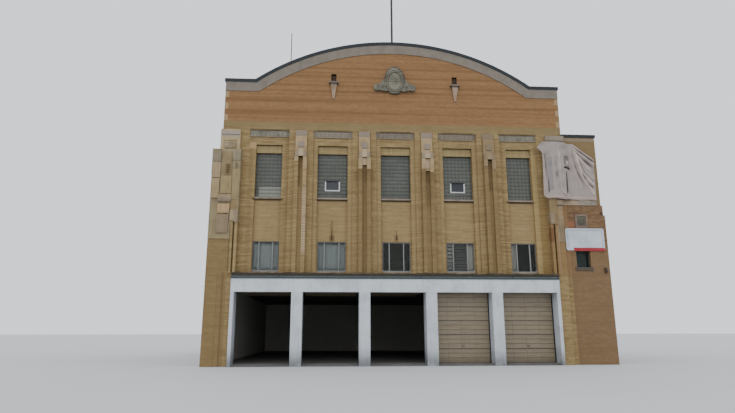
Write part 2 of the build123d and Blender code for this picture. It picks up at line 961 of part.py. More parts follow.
wing_inside = wing_outer - wing_wall
wing_side_face = Plane(origin=(lower_outer, wing_depth / 2, 0), x_dir=(0, 1, 0), z_dir=(1, 0, 0))
wing_side_us = (-wing_side_window_pitch / 2, wing_side_window_pitch / 2)
wing_window_sills = (wing_window_sill_z, wing_upper_window_z)
with BuildPart() as wing_side:
    with BuildSketch(front_face.offset(-wing_wall)) as section:
        wing_outline(wing_top_z)
        with Locations(((half_width + wing_inside) / 2, wing_top_z / 2)):
            Rectangle(wing_inside - half_width, wing_top_z, mode=Mode.SUBTRACT)
    extrude(section.sketch, amount=2 * wing_wall - wing_depth)
    for sill_z in wing_window_sills:
        with BuildSketch(wing_side_face) as hole:
            with Locations([(u, sill_z + wing_window_height / 2) for u in wing_side_us]):
                Rectangle(wing_window_width, wing_window_height)
        extrude(hole.sketch, amount=wing_inside - lower_outer, mode=Mode.SUBTRACT)
save(wing_side, "wing_side")

wing_slabs = (
    (slab_thickness, slab_thickness),
    (first_floor_z, floor_thickness),
    (second_floor_z, floor_thickness),
    (wing_roof_z, floor_thickness),
)
with BuildPart() as wing_floors:
    for top_z, thickness in wing_slabs:
        block(half_width, wing_inside, wing_wall, wing_depth - wing_wall, top_z - thickness, top_z)
save(wing_floors, "wing_floors")

with BuildPart() as wing_coping:
    with BuildSketch(Plane.XY.offset(wing_top_z)):
        coping_outer = wing_outer + wing_coping_overhang
        with Locations(((half_width + coping_outer) / 2, wing_depth / 2)):
            Rectangle(coping_outer - half_width, wing_depth + 2 * wing_coping_overhang)
        hollow_outer = wing_inside - wing_coping_overhang
        with Locations(((half_width + hollow_outer) / 2, wing_depth / 2)):
            Rectangle(
                hollow_outer - half_width,
                wing_depth - 2 * wing_wall - 2 * wing_coping_overhang,
                mode=Mode.SUBTRACT,
            )
    extrude(amount=wing_coping_height)
save(wing_coping, "wing_coping")

# Stone band, carved plaque, sill, sign board and lamp on the wing's front
with BuildPart() as wing_band:
    block(
        half_width + wing_band_x,
        half_width + wing_band_x + wing_band_width,
        -wing_band_proud,
        0,
        wing_band_z,
        wing_band_z + wing_band_height,
    )
save(wing_band, "wing_band")

with BuildPart() as wing_plaque:
    with BuildSketch(front_face) as slab_face:
        with Locations((half_width + plaque_x, plaque_base_z + plaque_height / 2)):
            Rectangle(plaque_width, plaque_height)
    extrude(slab_face.sketch, amount=plaque_proud)
    with BuildSketch(front_face.offset(plaque_proud)) as sunk_field:
        with Locations((half_width + plaque_x, plaque_base_z + plaque_height / 2)):
            Rectangle(plaque_width - 2 * plaque_border, plaque_height - 2 * plaque_border)
    extrude(sunk_field.sketch, amount=-plaque_sunk, mode=Mode.SUBTRACT)
save(wing_plaque, "wing_plaque")

# Windows. Each wall has a row of glass block over a row of three-light frames.
upper_rows = (
    (front_face, bay_xs, upper_widths),
    (left_face, side_xs, side_row_upper),
    (right_face, side_clear_xs, side_row_upper),
    (rear_face, bay_xs, side_row_upper),
)
lower_rows = (
    (front_face, bay_xs, lower_widths),
    (left_face, side_xs, side_row_lower),
    (right_face, side_clear_xs, side_row_lower),
    (rear_face, bay_xs, side_row_lower),
)
wing_places = (
    (front_face, [(wing_window_centre, wing_window_sill_z)]),
    (wing_side_face, [(u, sill_z) for sill_z in wing_window_sills for u in wing_side_us]),
)
wing_glass_setback = lower_outer - wing_outer
hopper_xs = (bay_xs[1], bay_xs[3])
hopper_mid_z = hopper_base_z + hopper_height / 2
with BuildPart() as block_windows:
    for face, centres, widths in upper_rows:
        row_panes(face, centres, widths, upper_sill_z, upper_window_height, window_setback, block_thickness)
    for x in hopper_xs:
        block(
            x - hopper_width / 2,
            x + hopper_width / 2,
            window_setback,
            window_setback + block_thickness,
            hopper_base_z,
            hopper_base_z + hopper_height,
            Mode.SUBTRACT,
        )
save(block_windows, "block_windows")

with BuildPart() as hopper_frames:
    for x in hopper_xs:
        with BuildSketch(front_face.offset(hopper_proud - window_setback)):
            with Locations((x, hopper_mid_z)):
                Rectangle(hopper_width, hopper_height)
                Rectangle(hopper_width - 2 * hopper_bar, hopper_height - 2 * hopper_bar, mode=Mode.SUBTRACT)
        extrude(amount=-(hopper_proud + block_thickness))
save(hopper_frames, "hopper_frames")

with BuildPart() as hopper_panes:
    for x in hopper_xs:
        with BuildSketch(front_face.offset(-(window_setback + block_thickness / 2))):
            with Locations((x, hopper_mid_z)):
                Rectangle(hopper_width - 2 * hopper_bar, hopper_height - 2 * hopper_bar)
        extrude(amount=-glass_thickness)
save(hopper_panes, "hopper_panes")

with BuildPart() as window_frames:
    for face, centres, widths in lower_rows:
        row_frames(face, centres, widths, lower_sill_z, lower_window_height, lower_setback)
    for face, places in wing_places:
        for u, sill_z in places:
            with BuildSketch(face.offset(-wing_glass_setback)) as frame:
                with Locations((u, sill_z + wing_window_height / 2)):
                    Rectangle(wing_window_width, wing_window_height)
                    Rectangle(
                        wing_window_width - 2 * wing_window_bar,
                        wing_window_height - 2 * wing_window_bar,
                        mode=Mode.SUBTRACT,
                    )
            extrude(frame.sketch, amount=-frame_depth)
save(window_frames, "window_frames")

with BuildPart() as window_glass:
    for face, centres, widths in lower_rows:
        glass_front = lower_setback + frame_depth
        row_panes(face, centres, widths, lower_sill_z, lower_window_height, glass_front, glass_thickness)
    for face, places in wing_places:
        for u, sill_z in places:
            with BuildSketch(face.offset(-(wing_glass_setback + frame_depth))) as pane:
                with Locations((u, sill_z + wing_window_height / 2)):
                    Rectangle(wing_window_width, wing_window_height)
            extrude(pane.sketch, amount=-glass_thickness)
save(window_glass, "window_glass")

with BuildPart() as window_sills:
    for face, centres, widths in upper_rows:
        front = strip_depth - sill_projection if face is front_face else -sill_projection / 2
        row_panes(
            face,
            centres,
            widths,
            upper_sill_z - upper_sill_height,
            upper_sill_height,
            front,
            wall - front,
        )
    for face, centres, widths in lower_rows:
        front = strip_depth if face is front_face else -sill_projection / 2
        row_panes(
            face,
            centres,
            widths,
            lower_sill_z - lower_sill_height,
            lower_sill_height,
            front,
            wall - front,
        )
    for face, places in wing_places:
        for u, sill_z in places:
            reach = lower_outer - wing_outer if sill_z > wing_step_z else 0
            with BuildSketch(face.offset(sill_projection / 2 - reach)) as sill:
                with Locations((u, sill_z - wing_sill_height / 2)):
                    Rectangle(wing_window_width + wing_sill_extra, wing_sill_height)
            extrude(sill.sketch, amount=-sill_projection / 2)
save(window_sills, "window_sills")

# Sign board and lamp on the wing
with BuildPart() as sign_board:
    block(
        half_width + sign_x,
        half_width + sign_x + sign_width,
        -sign_thickness,
        0,
        sign_base_z,
        sign_base_z + sign_height,
    )
save(sign_board, "sign_board")

with BuildPart() as wing_lamp:
    with BuildSketch(front_face) as lamp_base:
        with Locations((half_width + lamp_x, lamp_z)):
            Circle(lamp_radius)
    extrude(lamp_base.sketch, amount=lamp_reach)
    fillet(wing_lamp.edges().group_by(Axis.Y)[0], lamp_rounding)
save(wing_lamp, "wing_lamp")

# Tarpaulin: it lies on the corner head, clears the cap, then falls back to the wing
with BuildPart() as tarp:
    tarp_front = head_projection
    tarp_right = wing_outer - tarp_margin
    tarp_back = [
        (tarp_left, -tarp_front),
        (corner_right_edge, -tarp_front),
        (cap_outer + tarp_thickness, tarp_cap_y),
        (half_width + tarp_wing_gap, 0),
        (tarp_right, 0),
    ]
    tarp_face = [(x, y - tarp_thickness) for x, y in reversed(tarp_back)]
    with BuildSketch(Plane.XY.offset(tarp_top_z - tarp_drop)):
        with BuildLine():
            Polyline(*tarp_back, *tarp_face, close=True)
        make_face()
    extrude(amount=tarp_drop)
    with BuildSketch(front_face.offset(tarp_front + tarp_thickness)) as slanted_corner:
        with BuildLine():
            Polyline(
                (tarp_right, tarp_top_z),
                (tarp_right - tarp_cut_width, tarp_top_z),
                (tarp_right, tarp_top_z - tarp_cut_height),
                close=True,
            )
        make_face()
    extrude(slanted_corner.sketch, amount=-(tarp_front + tarp_thickness), mode=Mode.SUBTRACT)
save(tarp, "tarp")
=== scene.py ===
"""Dresses the two-storey brick fire station: finishes, carved stone, glass blocks, doors and roof.

Sizes are in metres. X runs to the right along the facade from its central axis, Y runs into
the building from the facade's wall face, and Z is height above the ground.
"""

import json
import logging
import math
from dataclasses import dataclass, replace
from enum import Enum
from functools import reduce
from typing import Callable, Sequence, Union

import bpy
from mathutils import Matrix, Vector

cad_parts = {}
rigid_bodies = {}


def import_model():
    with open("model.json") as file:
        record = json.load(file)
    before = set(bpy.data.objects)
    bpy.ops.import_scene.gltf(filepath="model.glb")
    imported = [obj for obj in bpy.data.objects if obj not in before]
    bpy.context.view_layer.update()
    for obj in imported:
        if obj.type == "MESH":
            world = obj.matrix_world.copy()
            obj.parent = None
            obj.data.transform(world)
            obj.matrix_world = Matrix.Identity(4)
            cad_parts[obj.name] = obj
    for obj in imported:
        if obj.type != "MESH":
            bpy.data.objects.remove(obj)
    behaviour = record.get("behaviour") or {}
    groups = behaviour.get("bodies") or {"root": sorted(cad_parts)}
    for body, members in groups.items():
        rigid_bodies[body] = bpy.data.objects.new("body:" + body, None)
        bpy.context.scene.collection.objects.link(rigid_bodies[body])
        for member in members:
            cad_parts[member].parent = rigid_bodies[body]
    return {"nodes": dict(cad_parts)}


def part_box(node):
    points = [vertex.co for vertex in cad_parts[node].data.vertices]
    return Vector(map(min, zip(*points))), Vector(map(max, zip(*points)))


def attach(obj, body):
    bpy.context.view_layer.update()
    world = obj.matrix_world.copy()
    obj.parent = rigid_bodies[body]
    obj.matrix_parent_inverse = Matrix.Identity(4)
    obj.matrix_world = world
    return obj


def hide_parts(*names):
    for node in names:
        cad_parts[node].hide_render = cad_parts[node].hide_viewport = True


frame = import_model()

LOG = logging.getLogger("fire_station")
Tone = tuple[float, float, float]
Point = tuple[float, float, float]
Span = tuple[float, float]
Piece = bpy.types.Object
Material = bpy.types.Material
Socket = bpy.types.NodeSocket
Value = Union[Socket, float, Tone]
Inputs = dict[Union[int, str], Value]

HALF_WIDTH = 9.36
DEPTH = 20.0
WALL = 0.4
BAY = 3.42
BAYS = tuple(BAY * i for i in (-2, -1, 0, 1, 2))
ARCH_RADIUS = 13.2625
ARCH_CENTRE_Z = 4.5875
ARCH_HALF = 7.75
SHOULDER_Z = 15.35
PORTAL_HALF = 8.44
INNER_WINDOW = 1.616
OUTER_WINDOW = 1.405
SIDES = (-1, 1)


class Wall(Enum):
    """One outer wall face. Pieces are modelled on the front wall and turned onto the others."""

    FRONT = "front"
    LEFT = "left"
    RIGHT = "right"
    REAR = "rear"

    def matrix(self) -> Matrix:
        """Give the move from the front wall's place to this wall's.

        Returns:
            The move, with the turn about the vertical.
        """
        turn, place = {
            Wall.FRONT: (0.0, (0.0, 0.0, 0.0)),
            Wall.LEFT: (-90.0, (-HALF_WIDTH, DEPTH / 2, 0.0)),
            Wall.RIGHT: (90.0, (HALF_WIDTH, DEPTH / 2, 0.0)),
            Wall.REAR: (180.0, (0.0, DEPTH, 0.0)),
        }[self]
        return shift(*place) @ Matrix.Rotation(math.radians(turn), 4, "Z")


ROW_CENTRES: dict[Wall, tuple[float, ...]] = {
    Wall.FRONT: BAYS,
    Wall.LEFT: BAYS,
    Wall.RIGHT: BAYS[2:],
    Wall.REAR: BAYS,
}


def upper_width(wall: Wall, centre: float) -> float:
    """Give the width of one upper window. The front's two outer ones are narrower."""
    return OUTER_WINDOW if wall is Wall.FRONT and abs(centre) > BAY * 1.5 else INNER_WINDOW


# Modelling moves


def shift(x: float = 0.0, y: float = 0.0, z: float = 0.0) -> Matrix:
    """Give a plain move."""
    return Matrix.Translation(Vector((x, y, z)))


def clear_selection() -> None:
    """Leave edit mode and deselect everything."""
    if bpy.context.object and bpy.context.object.mode != "OBJECT":
        leave_edit()
    bpy.ops.object.select_all(action="DESELECT")


def take(*pieces: Piece) -> None:
    """Select some pieces alone, the first of them active.

    Args:
        pieces: the pieces to select.
    """
    clear_selection()
    for piece in pieces:
        piece.select_set(True)
    bpy.context.view_layer.objects.active = pieces[0]


def named(piece: Piece, name: str) -> Piece:
    """Name a piece and its mesh."""
    piece.name = piece.data.name = name
    return piece


def settle(piece: Piece, name: str) -> None:
    """Name a new piece and put its place, turn and scale into its mesh."""
    take(named(piece, name))
    bpy.ops.object.transform_apply(location=True, rotation=True, scale=True)


def block(name: str, low: Point, high: Point, edge: float = 0.0) -> Piece:
    """Add a box between two corners.

    Args:
        name: the piece's name.
        low: the corner with the lowest coordinates.
        high: the opposite corner.
        edge: the width of its bevels, if it has any.

    Returns:
        The box, with its place in its mesh.
    """
    clear_selection()
    centre = [(a + b) / 2 for a, b in zip(low, high)]
    bpy.ops.mesh.primitive_cube_add(size=1, location=centre)
    piece = bpy.context.active_object
    piece.scale = [b - a for a, b in zip(low, high)]
    settle(piece, name)
    return bevelled(piece, edge) if edge else piece


def plates(name: str, spans: Sequence[tuple[float, ...]], depth: Span, edge: float = 0.0) -> list[Piece]:
    """Add flat boxes between two depths, one for each span of two X and two heights."""
    y0, y1 = depth
    return [block(name, (x0, y0, z0), (x1, y1, z1), edge) for x0, x1, z0, z1 in spans]


def edit_all(piece: Piece) -> None:
    """Enter edit mode with the whole mesh selected.

    Args:
        piece: the piece to edit.
    """
    take(piece)
    bpy.ops.object.mode_set(mode="EDIT")
    bpy.ops.mesh.select_all(action="SELECT")


def edit_faces(piece: Piece, test: Callable[[Vector, Vector], bool]) -> None:
    """Enter edit mode with some faces selected.

    Args:
        piece: the piece to edit.
        test: tells from a face's centre and normal whether to select it.
    """
    take(piece)
    bpy.ops.object.mode_set(mode="EDIT")
    bpy.ops.mesh.select_mode(type="FACE")
    bpy.ops.mesh.select_all(action="DESELECT")
    leave_edit()
    for face in piece.data.polygons:
        face.select = test(face.center, face.normal)
    bpy.ops.object.mode_set(mode="EDIT")


def leave_edit() -> None:
    """Go back to object mode."""
    bpy.ops.object.mode_set(mode="OBJECT")


def with_modifier(piece: Piece, kind: str, **settings: object) -> Piece:
    """Add a modifier, set it and apply it at once.

    Args:
        piece: the piece to change.
        kind: the modifier's kind.
        settings: its own properties.

    Returns:
        The piece.
    """
    take(piece)
    modifier = piece.modifiers.new(kind.lower(), kind)
    for key, value in settings.items():
        setattr(modifier, key, value)
    bpy.ops.object.modifier_apply(modifier=modifier.name)
    return piece


def smoothed(piece: Piece, degrees: float) -> Piece:
    """Shade the selected piece smooth, except where its faces meet at more than an angle."""
    bpy.ops.object.shade_smooth_by_angle(angle=math.radians(degrees))
    return piece


def bevelled(piece: Piece, width: float, segments: int = 1) -> Piece:
    """Round a piece's sharp edges by a width, in a number of faces across."""
    with_modifier(piece, "BEVEL", width=width, segments=segments, limit_method="ANGLE")
    return smoothed(piece, 40)


def repeated(piece: Piece, count: int, step: Point) -> Piece:
    """Repeat a piece along a line until there are so many, all in one mesh."""
    offset = {"use_relative_offset": False, "use_constant_offset": True, "constant_offset_displace": step}
    return with_modifier(piece, "ARRAY", count=count, **offset)


def copies(pattern: Piece, moves: Sequence[Matrix]) -> list[Piece]:
    """Copy a pattern to several places, each copy with its own mesh, and remove the pattern.

    Args:
        pattern: the piece to copy.
        moves: where each copy goes.

    Returns:
        The copies, with their places in their meshes.
    """
    twins = []
    for move in moves:
        twin = pattern.copy()
        twin.data = pattern.data.copy()
        bpy.context.scene.collection.objects.link(twin)
        twin.data.transform(move)
        twins.append(twin)
    bpy.data.objects.remove(pattern)
    return twins


def joined(name: str, pieces: Sequence[Piece]) -> Piece:
    """Join pieces into one mesh.

    Args:
        name: the new piece's name.
        pieces: the pieces.

    Returns:
        The new piece.
    """
    take(*pieces)
    if len(pieces) > 1:
        bpy.ops.object.join()
    return named(bpy.context.view_layer.objects.active, name)


def round_turn(count: int) -> list[float]:
    """Give angles evenly spaced round a full turn."""
    return [math.tau * index / count for index in range(count)]


def on_oval(centre: Point, radii: Span, angle: float) -> Point:
    """Give a point of an oval that stands against the facade, at an angle from its top."""
    x, y, z = centre
    return (x + radii[0] * math.sin(angle), y, z + radii[1] * math.cos(angle))


def ring(name: str, centre: Point, major: float, minor: float, segments: int = 24) -> Piece:
    """Add a ring that lies against the facade.

    Args:
        name: the piece's name.
        centre: its middle.
        major: the radius from its middle to the middle of its bead.
        minor: the bead's radius.
        segments: the number of faces round it.

    Returns:
        The ring.
    """
    clear_selection()
    bpy.ops.mesh.primitive_torus_add(
        location=centre,
        rotation=(math.pi / 2, 0, 0),
        major_radius=major,
        minor_radius=minor,
        major_segments=segments,
        minor_segments=8,
    )
    piece = bpy.context.active_object
    settle(piece, name)
    bpy.ops.object.shade_smooth()
    return piece


def dome(name: str, centre: Point, radii: Point, segments: int = 16) -> Piece:
    """Add a half egg that stands out from the facade, its flat side at the centre's Y.

    Args:
        name: the piece's name.
        centre: the middle of its flat side.
        radii: its half width, its rise and its half height.
        segments: the number of faces round it.

    Returns:
        The half egg.
    """
    clear_selection()
    bpy.ops.mesh.primitive_uv_sphere_add(segments=segments, ring_count=segments // 2, location=centre)
    piece = bpy.context.active_object
    piece.rotation_euler = (math.pi / 2, 0, 0)
    settle(piece, name)
    edit_all(piece)
    bpy.ops.mesh.bisect(plane_co=centre, plane_no=(0, 1, 0), use_fill=True, clear_outer=True)
    bpy.ops.mesh.select_all(action="SELECT")
    bpy.ops.transform.resize(value=radii, center_override=centre)
    leave_edit()
    return smoothed(piece, 50)


def rod(name: str, start: Point, end: Point, radius: float, sides: int = 12) -> Piece:
    """Add a round bar between two points.

    Args:
        name: the piece's name.
        start: the middle of its first end.
        end: the middle of its other end.
        radius: its radius.
        sides: the number of faces round it.

    Returns:
        The bar, its edges a little rounded.
    """
    clear_selection()
    first, last = Vector(start), Vector(end)
    along = last - first
    bpy.ops.mesh.primitive_cylinder_add(
        vertices=sides, radius=radius, depth=along.length, location=(first + last) / 2
    )
    piece = bpy.context.active_object
    piece.rotation_euler = along.to_track_quat("Z", "Y").to_euler()
    settle(piece, name)
    return bevelled(piece, radius * 0.3)


# Shader graphs


def dimmed(tone: Tone, factor: float) -> Tone:
    """Scale a tone's three parts."""
    return tuple(part * factor for part in tone)


@dataclass(frozen=True)
class Patch:
    """A stretch of wall, or one stone, with a tone of its own, between two X and two heights."""

    x0: float
    x1: float
    z0: float
    z1: float
    tone: Tone
    share: float = 0.85
    soft: float = 0.03
    ragged: float = 0.0
    proud: float = 0.0


class Graph:
    """One material's node graph, built with short calls. It holds the surface's place and colour."""

    def __init__(self, name: str) -> None:
        """Start a material.

        Args:
            name: the finish's name.
        """
        self.material = bpy.data.materials.new(name)
        self.material.use_nodes = True
        self.tree = self.material.node_tree
        self.tree.nodes.clear()
        self.surface = self.node("ShaderNodeBsdfPrincipled", {})
        self.node("ShaderNodeOutputMaterial", {"Surface": self.surface.outputs[0]})
        self.place = self.output("ShaderNodeTexCoord", {}, "Object")
        self.x, self.y, self.z = self.parts(self.place)
        self.along = self.plus(self.x, self.y)
        self.colour: Value = (1.0, 1.0, 1.0)

    def put(self, value: Value | None, socket: Socket) -> None:
        """Link a socket, set a plain value, or leave an input as it is.

        Args:
            value: what the input gets, if anything.
            socket: the node's input.
        """
        if isinstance(value, Socket):
            self.tree.links.new(value, socket)
        elif isinstance(value, tuple) and socket.type == "RGBA":
            socket.default_value = (*value, 1.0)
        elif value is not None:
            socket.default_value = value

    def node(self, kind: str, inputs: Inputs, **settings: object) -> bpy.types.Node:
        """Add a node.

        Args:
            kind: the node's type.
            inputs: what its inputs get, by name or number.
            settings: its own properties.

        Returns:
            The node.
        """
        made = self.tree.nodes.new(kind)
        for key, value in settings.items():
            setattr(made, key, value)
        for key, value in inputs.items():
            self.put(value, made.inputs[key])
        return made

    def output(self, kind: str, inputs: Inputs, name: int | str = 0, **settings: object) -> Socket:
        """Add a node and give one of its outputs."""
        return self.node(kind, inputs, **settings).outputs[name]

    def parts(self, vector: Socket) -> tuple[Socket, ...]:
        """Split a vector in X, Y and Z."""
        return tuple(self.node("ShaderNodeSeparateXYZ", {0: vector}).outputs)

    def vector(self, x: Value, y: Value) -> Socket:
        """Combine two numbers in a vector."""
        return self.output("ShaderNodeCombineXYZ", {0: x, 1: y})

    def math(self, operation: str, a: Value, b: Value = 0.0) -> Socket:
        """Work out one sum."""
        return self.output("ShaderNodeMath", {0: a, 1: b}, operation=operation)

    def plus(self, a: Value, b: Value) -> Socket:
        """Add two values."""
        return self.math("ADD", a, b)

    def minus(self, a: Value, b: Value) -> Socket:
        """Take the second value from the first."""
        return self.math("SUBTRACT", a, b)

    def over(self, a: Value, b: Value) -> Socket:
        """Divide the first value by the second."""
        return self.math("DIVIDE", a, b)

    def times(self, *values: Value) -> Value:
        """Multiply one or more values."""
        return reduce(lambda a, b: self.math("MULTIPLY", a, b), values)

    def cycle(self, value: Value, length: float) -> Socket:
        """Give how far a value is along its repeat, from 0 to 1."""
        return self.math("FRACT", self.over(value, length))

    def zigzag(self, value: Value, length: float) -> Socket:
        """Give a ridge for every repeat, 0 at its feet and 0.5 on its crest."""
        return self.math("PINGPONG", self.over(value, length), 0.5)

    def off_bay(self, along: Value) -> Socket:
        """Give the distance from the nearest bay's axis."""
        return self.math("PINGPONG", along, BAY / 2)

    def off_pier(self) -> Socket:
        """Give the distance from the nearest pier's axis."""
        return self.minus(BAY / 2, self.off_bay(self.x))

    def noise(self, vector: Socket, scale: float, detail: float, roughness: float = 0.55) -> Socket:
        """Give clouds from 0 to 1, so many to the metre, broken up so many times."""
        inputs = {"Vector": vector, "Scale": scale, "Detail": detail, "Roughness": roughness}
        return self.output("ShaderNodeTexNoise", inputs, "Fac")

    def cloud(self, scale: float, detail: float) -> Socket:
        """Give clouds that fill space."""
        return self.noise(self.place, scale, detail)

    def flat_cloud(self, along: Value, up: Value, scale: float, detail: float) -> Socket:
        """Give clouds over two numbers."""
        return self.noise(self.vector(along, up), scale, detail)

    def grain(self, scale: Point, detail: float, roughness: float = 0.55) -> Socket:
        """Give clouds that are drawn out, with so many to the metre along each axis."""
        drawn = self.output("ShaderNodeMapping", {"Vector": self.place, "Scale": scale})
        return self.noise(drawn, 1.0, detail, roughness)

    def ramp(self, value: Value, low: float, high: float) -> Socket:
        """Turn the range from low to high into 0 to 1, smoothly, and hold it at the ends."""
        inputs = {"Value": value, "From Min": low, "From Max": high}
        return self.output("ShaderNodeMapRange", inputs, "Result", interpolation_type="SMOOTHSTEP")

    def between(self, value: Value, low: float, high: float, soft: float) -> Socket:
        """Give 1 between two values and 0 outside them, with ends that fade over a length."""
        rise = self.ramp(value, low - soft / 2, low + soft / 2)
        return self.times(rise, self.ramp(value, high + soft / 2, high - soft / 2))

    def tones(self, value: Value, colours: Sequence[Tone]) -> Socket:
        """Spread a value from 0 to 1 over several colours.

        Args:
            value: what to spread.
            colours: the colours, evenly spaced.

        Returns:
            The colour.
        """
        made = self.node("ShaderNodeValToRGB", {0: value})
        stops = made.color_ramp.elements
        while len(stops) < len(colours):
            stops.new(0.5)
        for index, colour in enumerate(colours):
            stops[index].position = index / (len(colours) - 1)
            stops[index].color = (*colour, 1.0)
        return made.outputs[0]

    def clouded(self, low: float, high: float, cloud: Socket, *tones: Tone) -> Socket:
        """Start the colour with clouds of several tones, and give the clouds back."""
        self.colour = self.tones(self.ramp(cloud, low, high), tones)
        return cloud

    def lay(self, tone: Value, *shares: Value) -> None:
        """Lay a tone over the colour so far, as much as the product of some masks and numbers."""
        inputs = {0: self.times(*shares), 6: self.colour, 7: tone}
        self.colour = self.output("ShaderNodeMix", inputs, 2, data_type="RGBA")

    def courses(self, flat: Socket, grey: float, offset: float, sizes: Inputs) -> tuple[Socket, Socket]:
        """Lay blocks in courses.

        Args:
            flat: the place along and up the courses.
            grey: the value of the joints.
            offset: how far each course is shifted, as a share of a block.
            sizes: the pattern's widths and softness.

        Returns:
            A value from 0 to 1 for each block, and a mask of the joints.
        """
        tones = {"Color1": (0.0, 0.0, 0.0), "Color2": (1.0, 1.0, 1.0), "Mortar": (grey, grey, grey)}
        inputs = {"Vector": flat, "Scale": 1.0, "Bias": 0.0, **tones, **sizes}
        made = self.node("ShaderNodeTexBrick", inputs, offset=offset, squash=1.0)
        return made.outputs["Color"], made.outputs["Fac"]

    def patch(self, along: Value, patches: Sequence[Patch]) -> None:
        """Lay patches over the colour so far.

        Args:
            along: what the patches' X is measured in.
            patches: the patches, the first lowest.
        """
        drift = None
        if any(patch.ragged for patch in patches):
            drift = self.minus(self.flat_cloud(along, self.z, 3.0, 4.0), 0.5)
        for patch in patches:
            here = self.plus(along, self.times(drift, patch.ragged)) if patch.ragged else along
            wide = self.between(here, patch.x0, patch.x1, patch.soft)
            tall = self.between(self.z, patch.z0, patch.z1, patch.soft)
            self.lay(patch.tone, wide, tall, patch.share)

    def soot_and_shade(self) -> None:
        """Darken the faces that look down: painted shade on the undersides."""
        tilt = self.parts(self.output("ShaderNodeNewGeometry", {}, "Normal"))[2]
        self.lay((0.02, 0.016, 0.012), self.ramp(tilt, -0.4, -0.8), 0.8)

    def bump(self, height: Value, distance: float, strength: float, under: Value | None = None) -> Socket:
        """Turn a height into a relief of a depth and a strength, which may lie on another one."""
        inputs = {"Height": height, "Distance": distance, "Strength": strength, "Normal": under}
        return self.output("ShaderNodeBump", inputs)

    def finish(
        self,
        roughness: Value,
        normal: Value | None = None,
        metallic: float = 0.0,
        specular: float = 0.5,
        alpha: float = 1.0,
    ) -> Material:
        """Close the graph with the surface's own values.

        Args:
            roughness: a socket or a number.
            normal: a relief, if there is one.
            metallic: 1 for bare metal.
            specular: strength of the plain reflection.
            alpha: 1 for a solid surface.

        Returns:
            The material.
        """
        inputs = {
            "Base Color": self.colour,
            "Roughness": roughness,
            "Normal": normal,
            "Metallic": metallic,
            "Specular IOR Level": specular,
            "Alpha": alpha,
        }
        for key, value in inputs.items():
            self.put(value, self.surface.inputs[key])
        return self.material


# Finishes


LEFT_HEAD_STONES = (
    Patch(-9.4, -8.4, 11.9, 12.22, (0.33, 0.29, 0.24)),
    Patch(-9.2, -8.6, 11.24, 11.58, (0.26, 0.23, 0.16), proud=0.03),
    Patch(-9.74, -9.3, 10.44, 11.03, (0.2, 0.17, 0.13), proud=0.03),
    Patch(-8.69, -8.29, 10.48, 11.03, (0.24, 0.22, 0.15), proud=0.04),
    Patch(-9.27, -8.71, 9.69, 11.06, (0.26, 0.19, 0.085)),
    Patch(-9.74, -9.31, 9.56, 10.4, (0.42, 0.29, 0.17), proud=0.02),
    Patch(-8.68, -8.29, 10.09, 10.45, (0.32, 0.26, 0.15), proud=0.05),
    Patch(-8.68, -8.29, 8.38, 10.06, (0.29, 0.22, 0.09), proud=0.03),
    Patch(-9.25, -8.7, 8.7, 9.66, (0.34, 0.25, 0.1), proud=0.015),
    Patch(-9.74, -9.33, 8.46, 9.53, (0.38, 0.27, 0.135), proud=0.02),
    Patch(-9.3, -8.68, 8.5, 8.67, (0.34, 0.25, 0.15), proud=0.03),
    Patch(-9.33, -8.67, 8.26, 8.47, (0.2, 0.15, 0.11), proud=0.05),
    Patch(-9.36, -8.74, 7.66, 8.16, (0.54, 0.34, 0.155), proud=0.04),
    Patch(-9.38, -8.77, 6.62, 7.6, (0.22, 0.16, 0.1), proud=0.02),
    Patch(-9.74, -9.4, 6.35, 8.2, (0.28, 0.22, 0.12)),
    Patch(-8.7, -8.52, 7.27, 7.83, (0.42, 0.31, 0.17), proud=0.02),
    Patch(-8.48, -8.29, 7.17, 7.86, (0.26, 0.19, 0.13), proud=0.02),
    Patch(-8.72, -8.29, 7.88, 8.36, (0.25, 0.155, 0.06)),
    Patch(-9.7, -8.78, 6.34, 6.58, (0.28, 0.22, 0.105)),
    Patch(-9.05, -8.83, 9.8, 10.32, (0.13, 0.09, 0.035), share=0.7, soft=0.12),
)

RIGHT_HEAD_STONES = (
    Patch(8.2, 8.74, 7.88, 8.75, (0.22, 0.14, 0.055)),
    Patch(8.24, 8.52, 7.4, 7.86, (0.27, 0.2, 0.135), soft=0.08),
    Patch(8.52, 8.74, 7.1, 7.88, (0.2, 0.12, 0.05)),
    Patch(8.2, 8.52, 6.3, 7.38, (0.19, 0.11, 0.048)),
    Patch(8.74, 9.1, 8.24, 8.75, (0.2, 0.15, 0.11)),
    Patch(8.74, 9.1, 7.66, 8.2, (0.32, 0.19, 0.09)),
    Patch(8.74, 9.1, 6.34, 7.62, (0.2, 0.14, 0.085)),
)

END_WALL = Patch(9.02, 9.5, 4.5, 8.9, (0.27, 0.155, 0.075))

FACADE_PATCHES = (
    Patch(-7.89, -7.55, 11.32, 11.66, (0.5, 0.32, 0.16), 0.7),
    Patch(-3.5, -3.34, 6.6, 7.42, (0.16, 0.1, 0.04), 0.5, 0.08),
    Patch(-3.56, -3.28, 6.3, 6.62, (0.13, 0.07, 0.025), 0.6, 0.12),
    Patch(-0.12, 0.12, 6.3, 6.66, (0.16, 0.1, 0.04), 0.5, 0.12),
    Patch(7.5, 7.82, 4.6, 11.2, (0.42, 0.3, 0.13), 0.45, 0.1),
    Patch(7.84, 8.28, 4.6, 8.7, (0.22, 0.135, 0.045), 0.6, 0.15, 0.2),
    END_WALL,
)

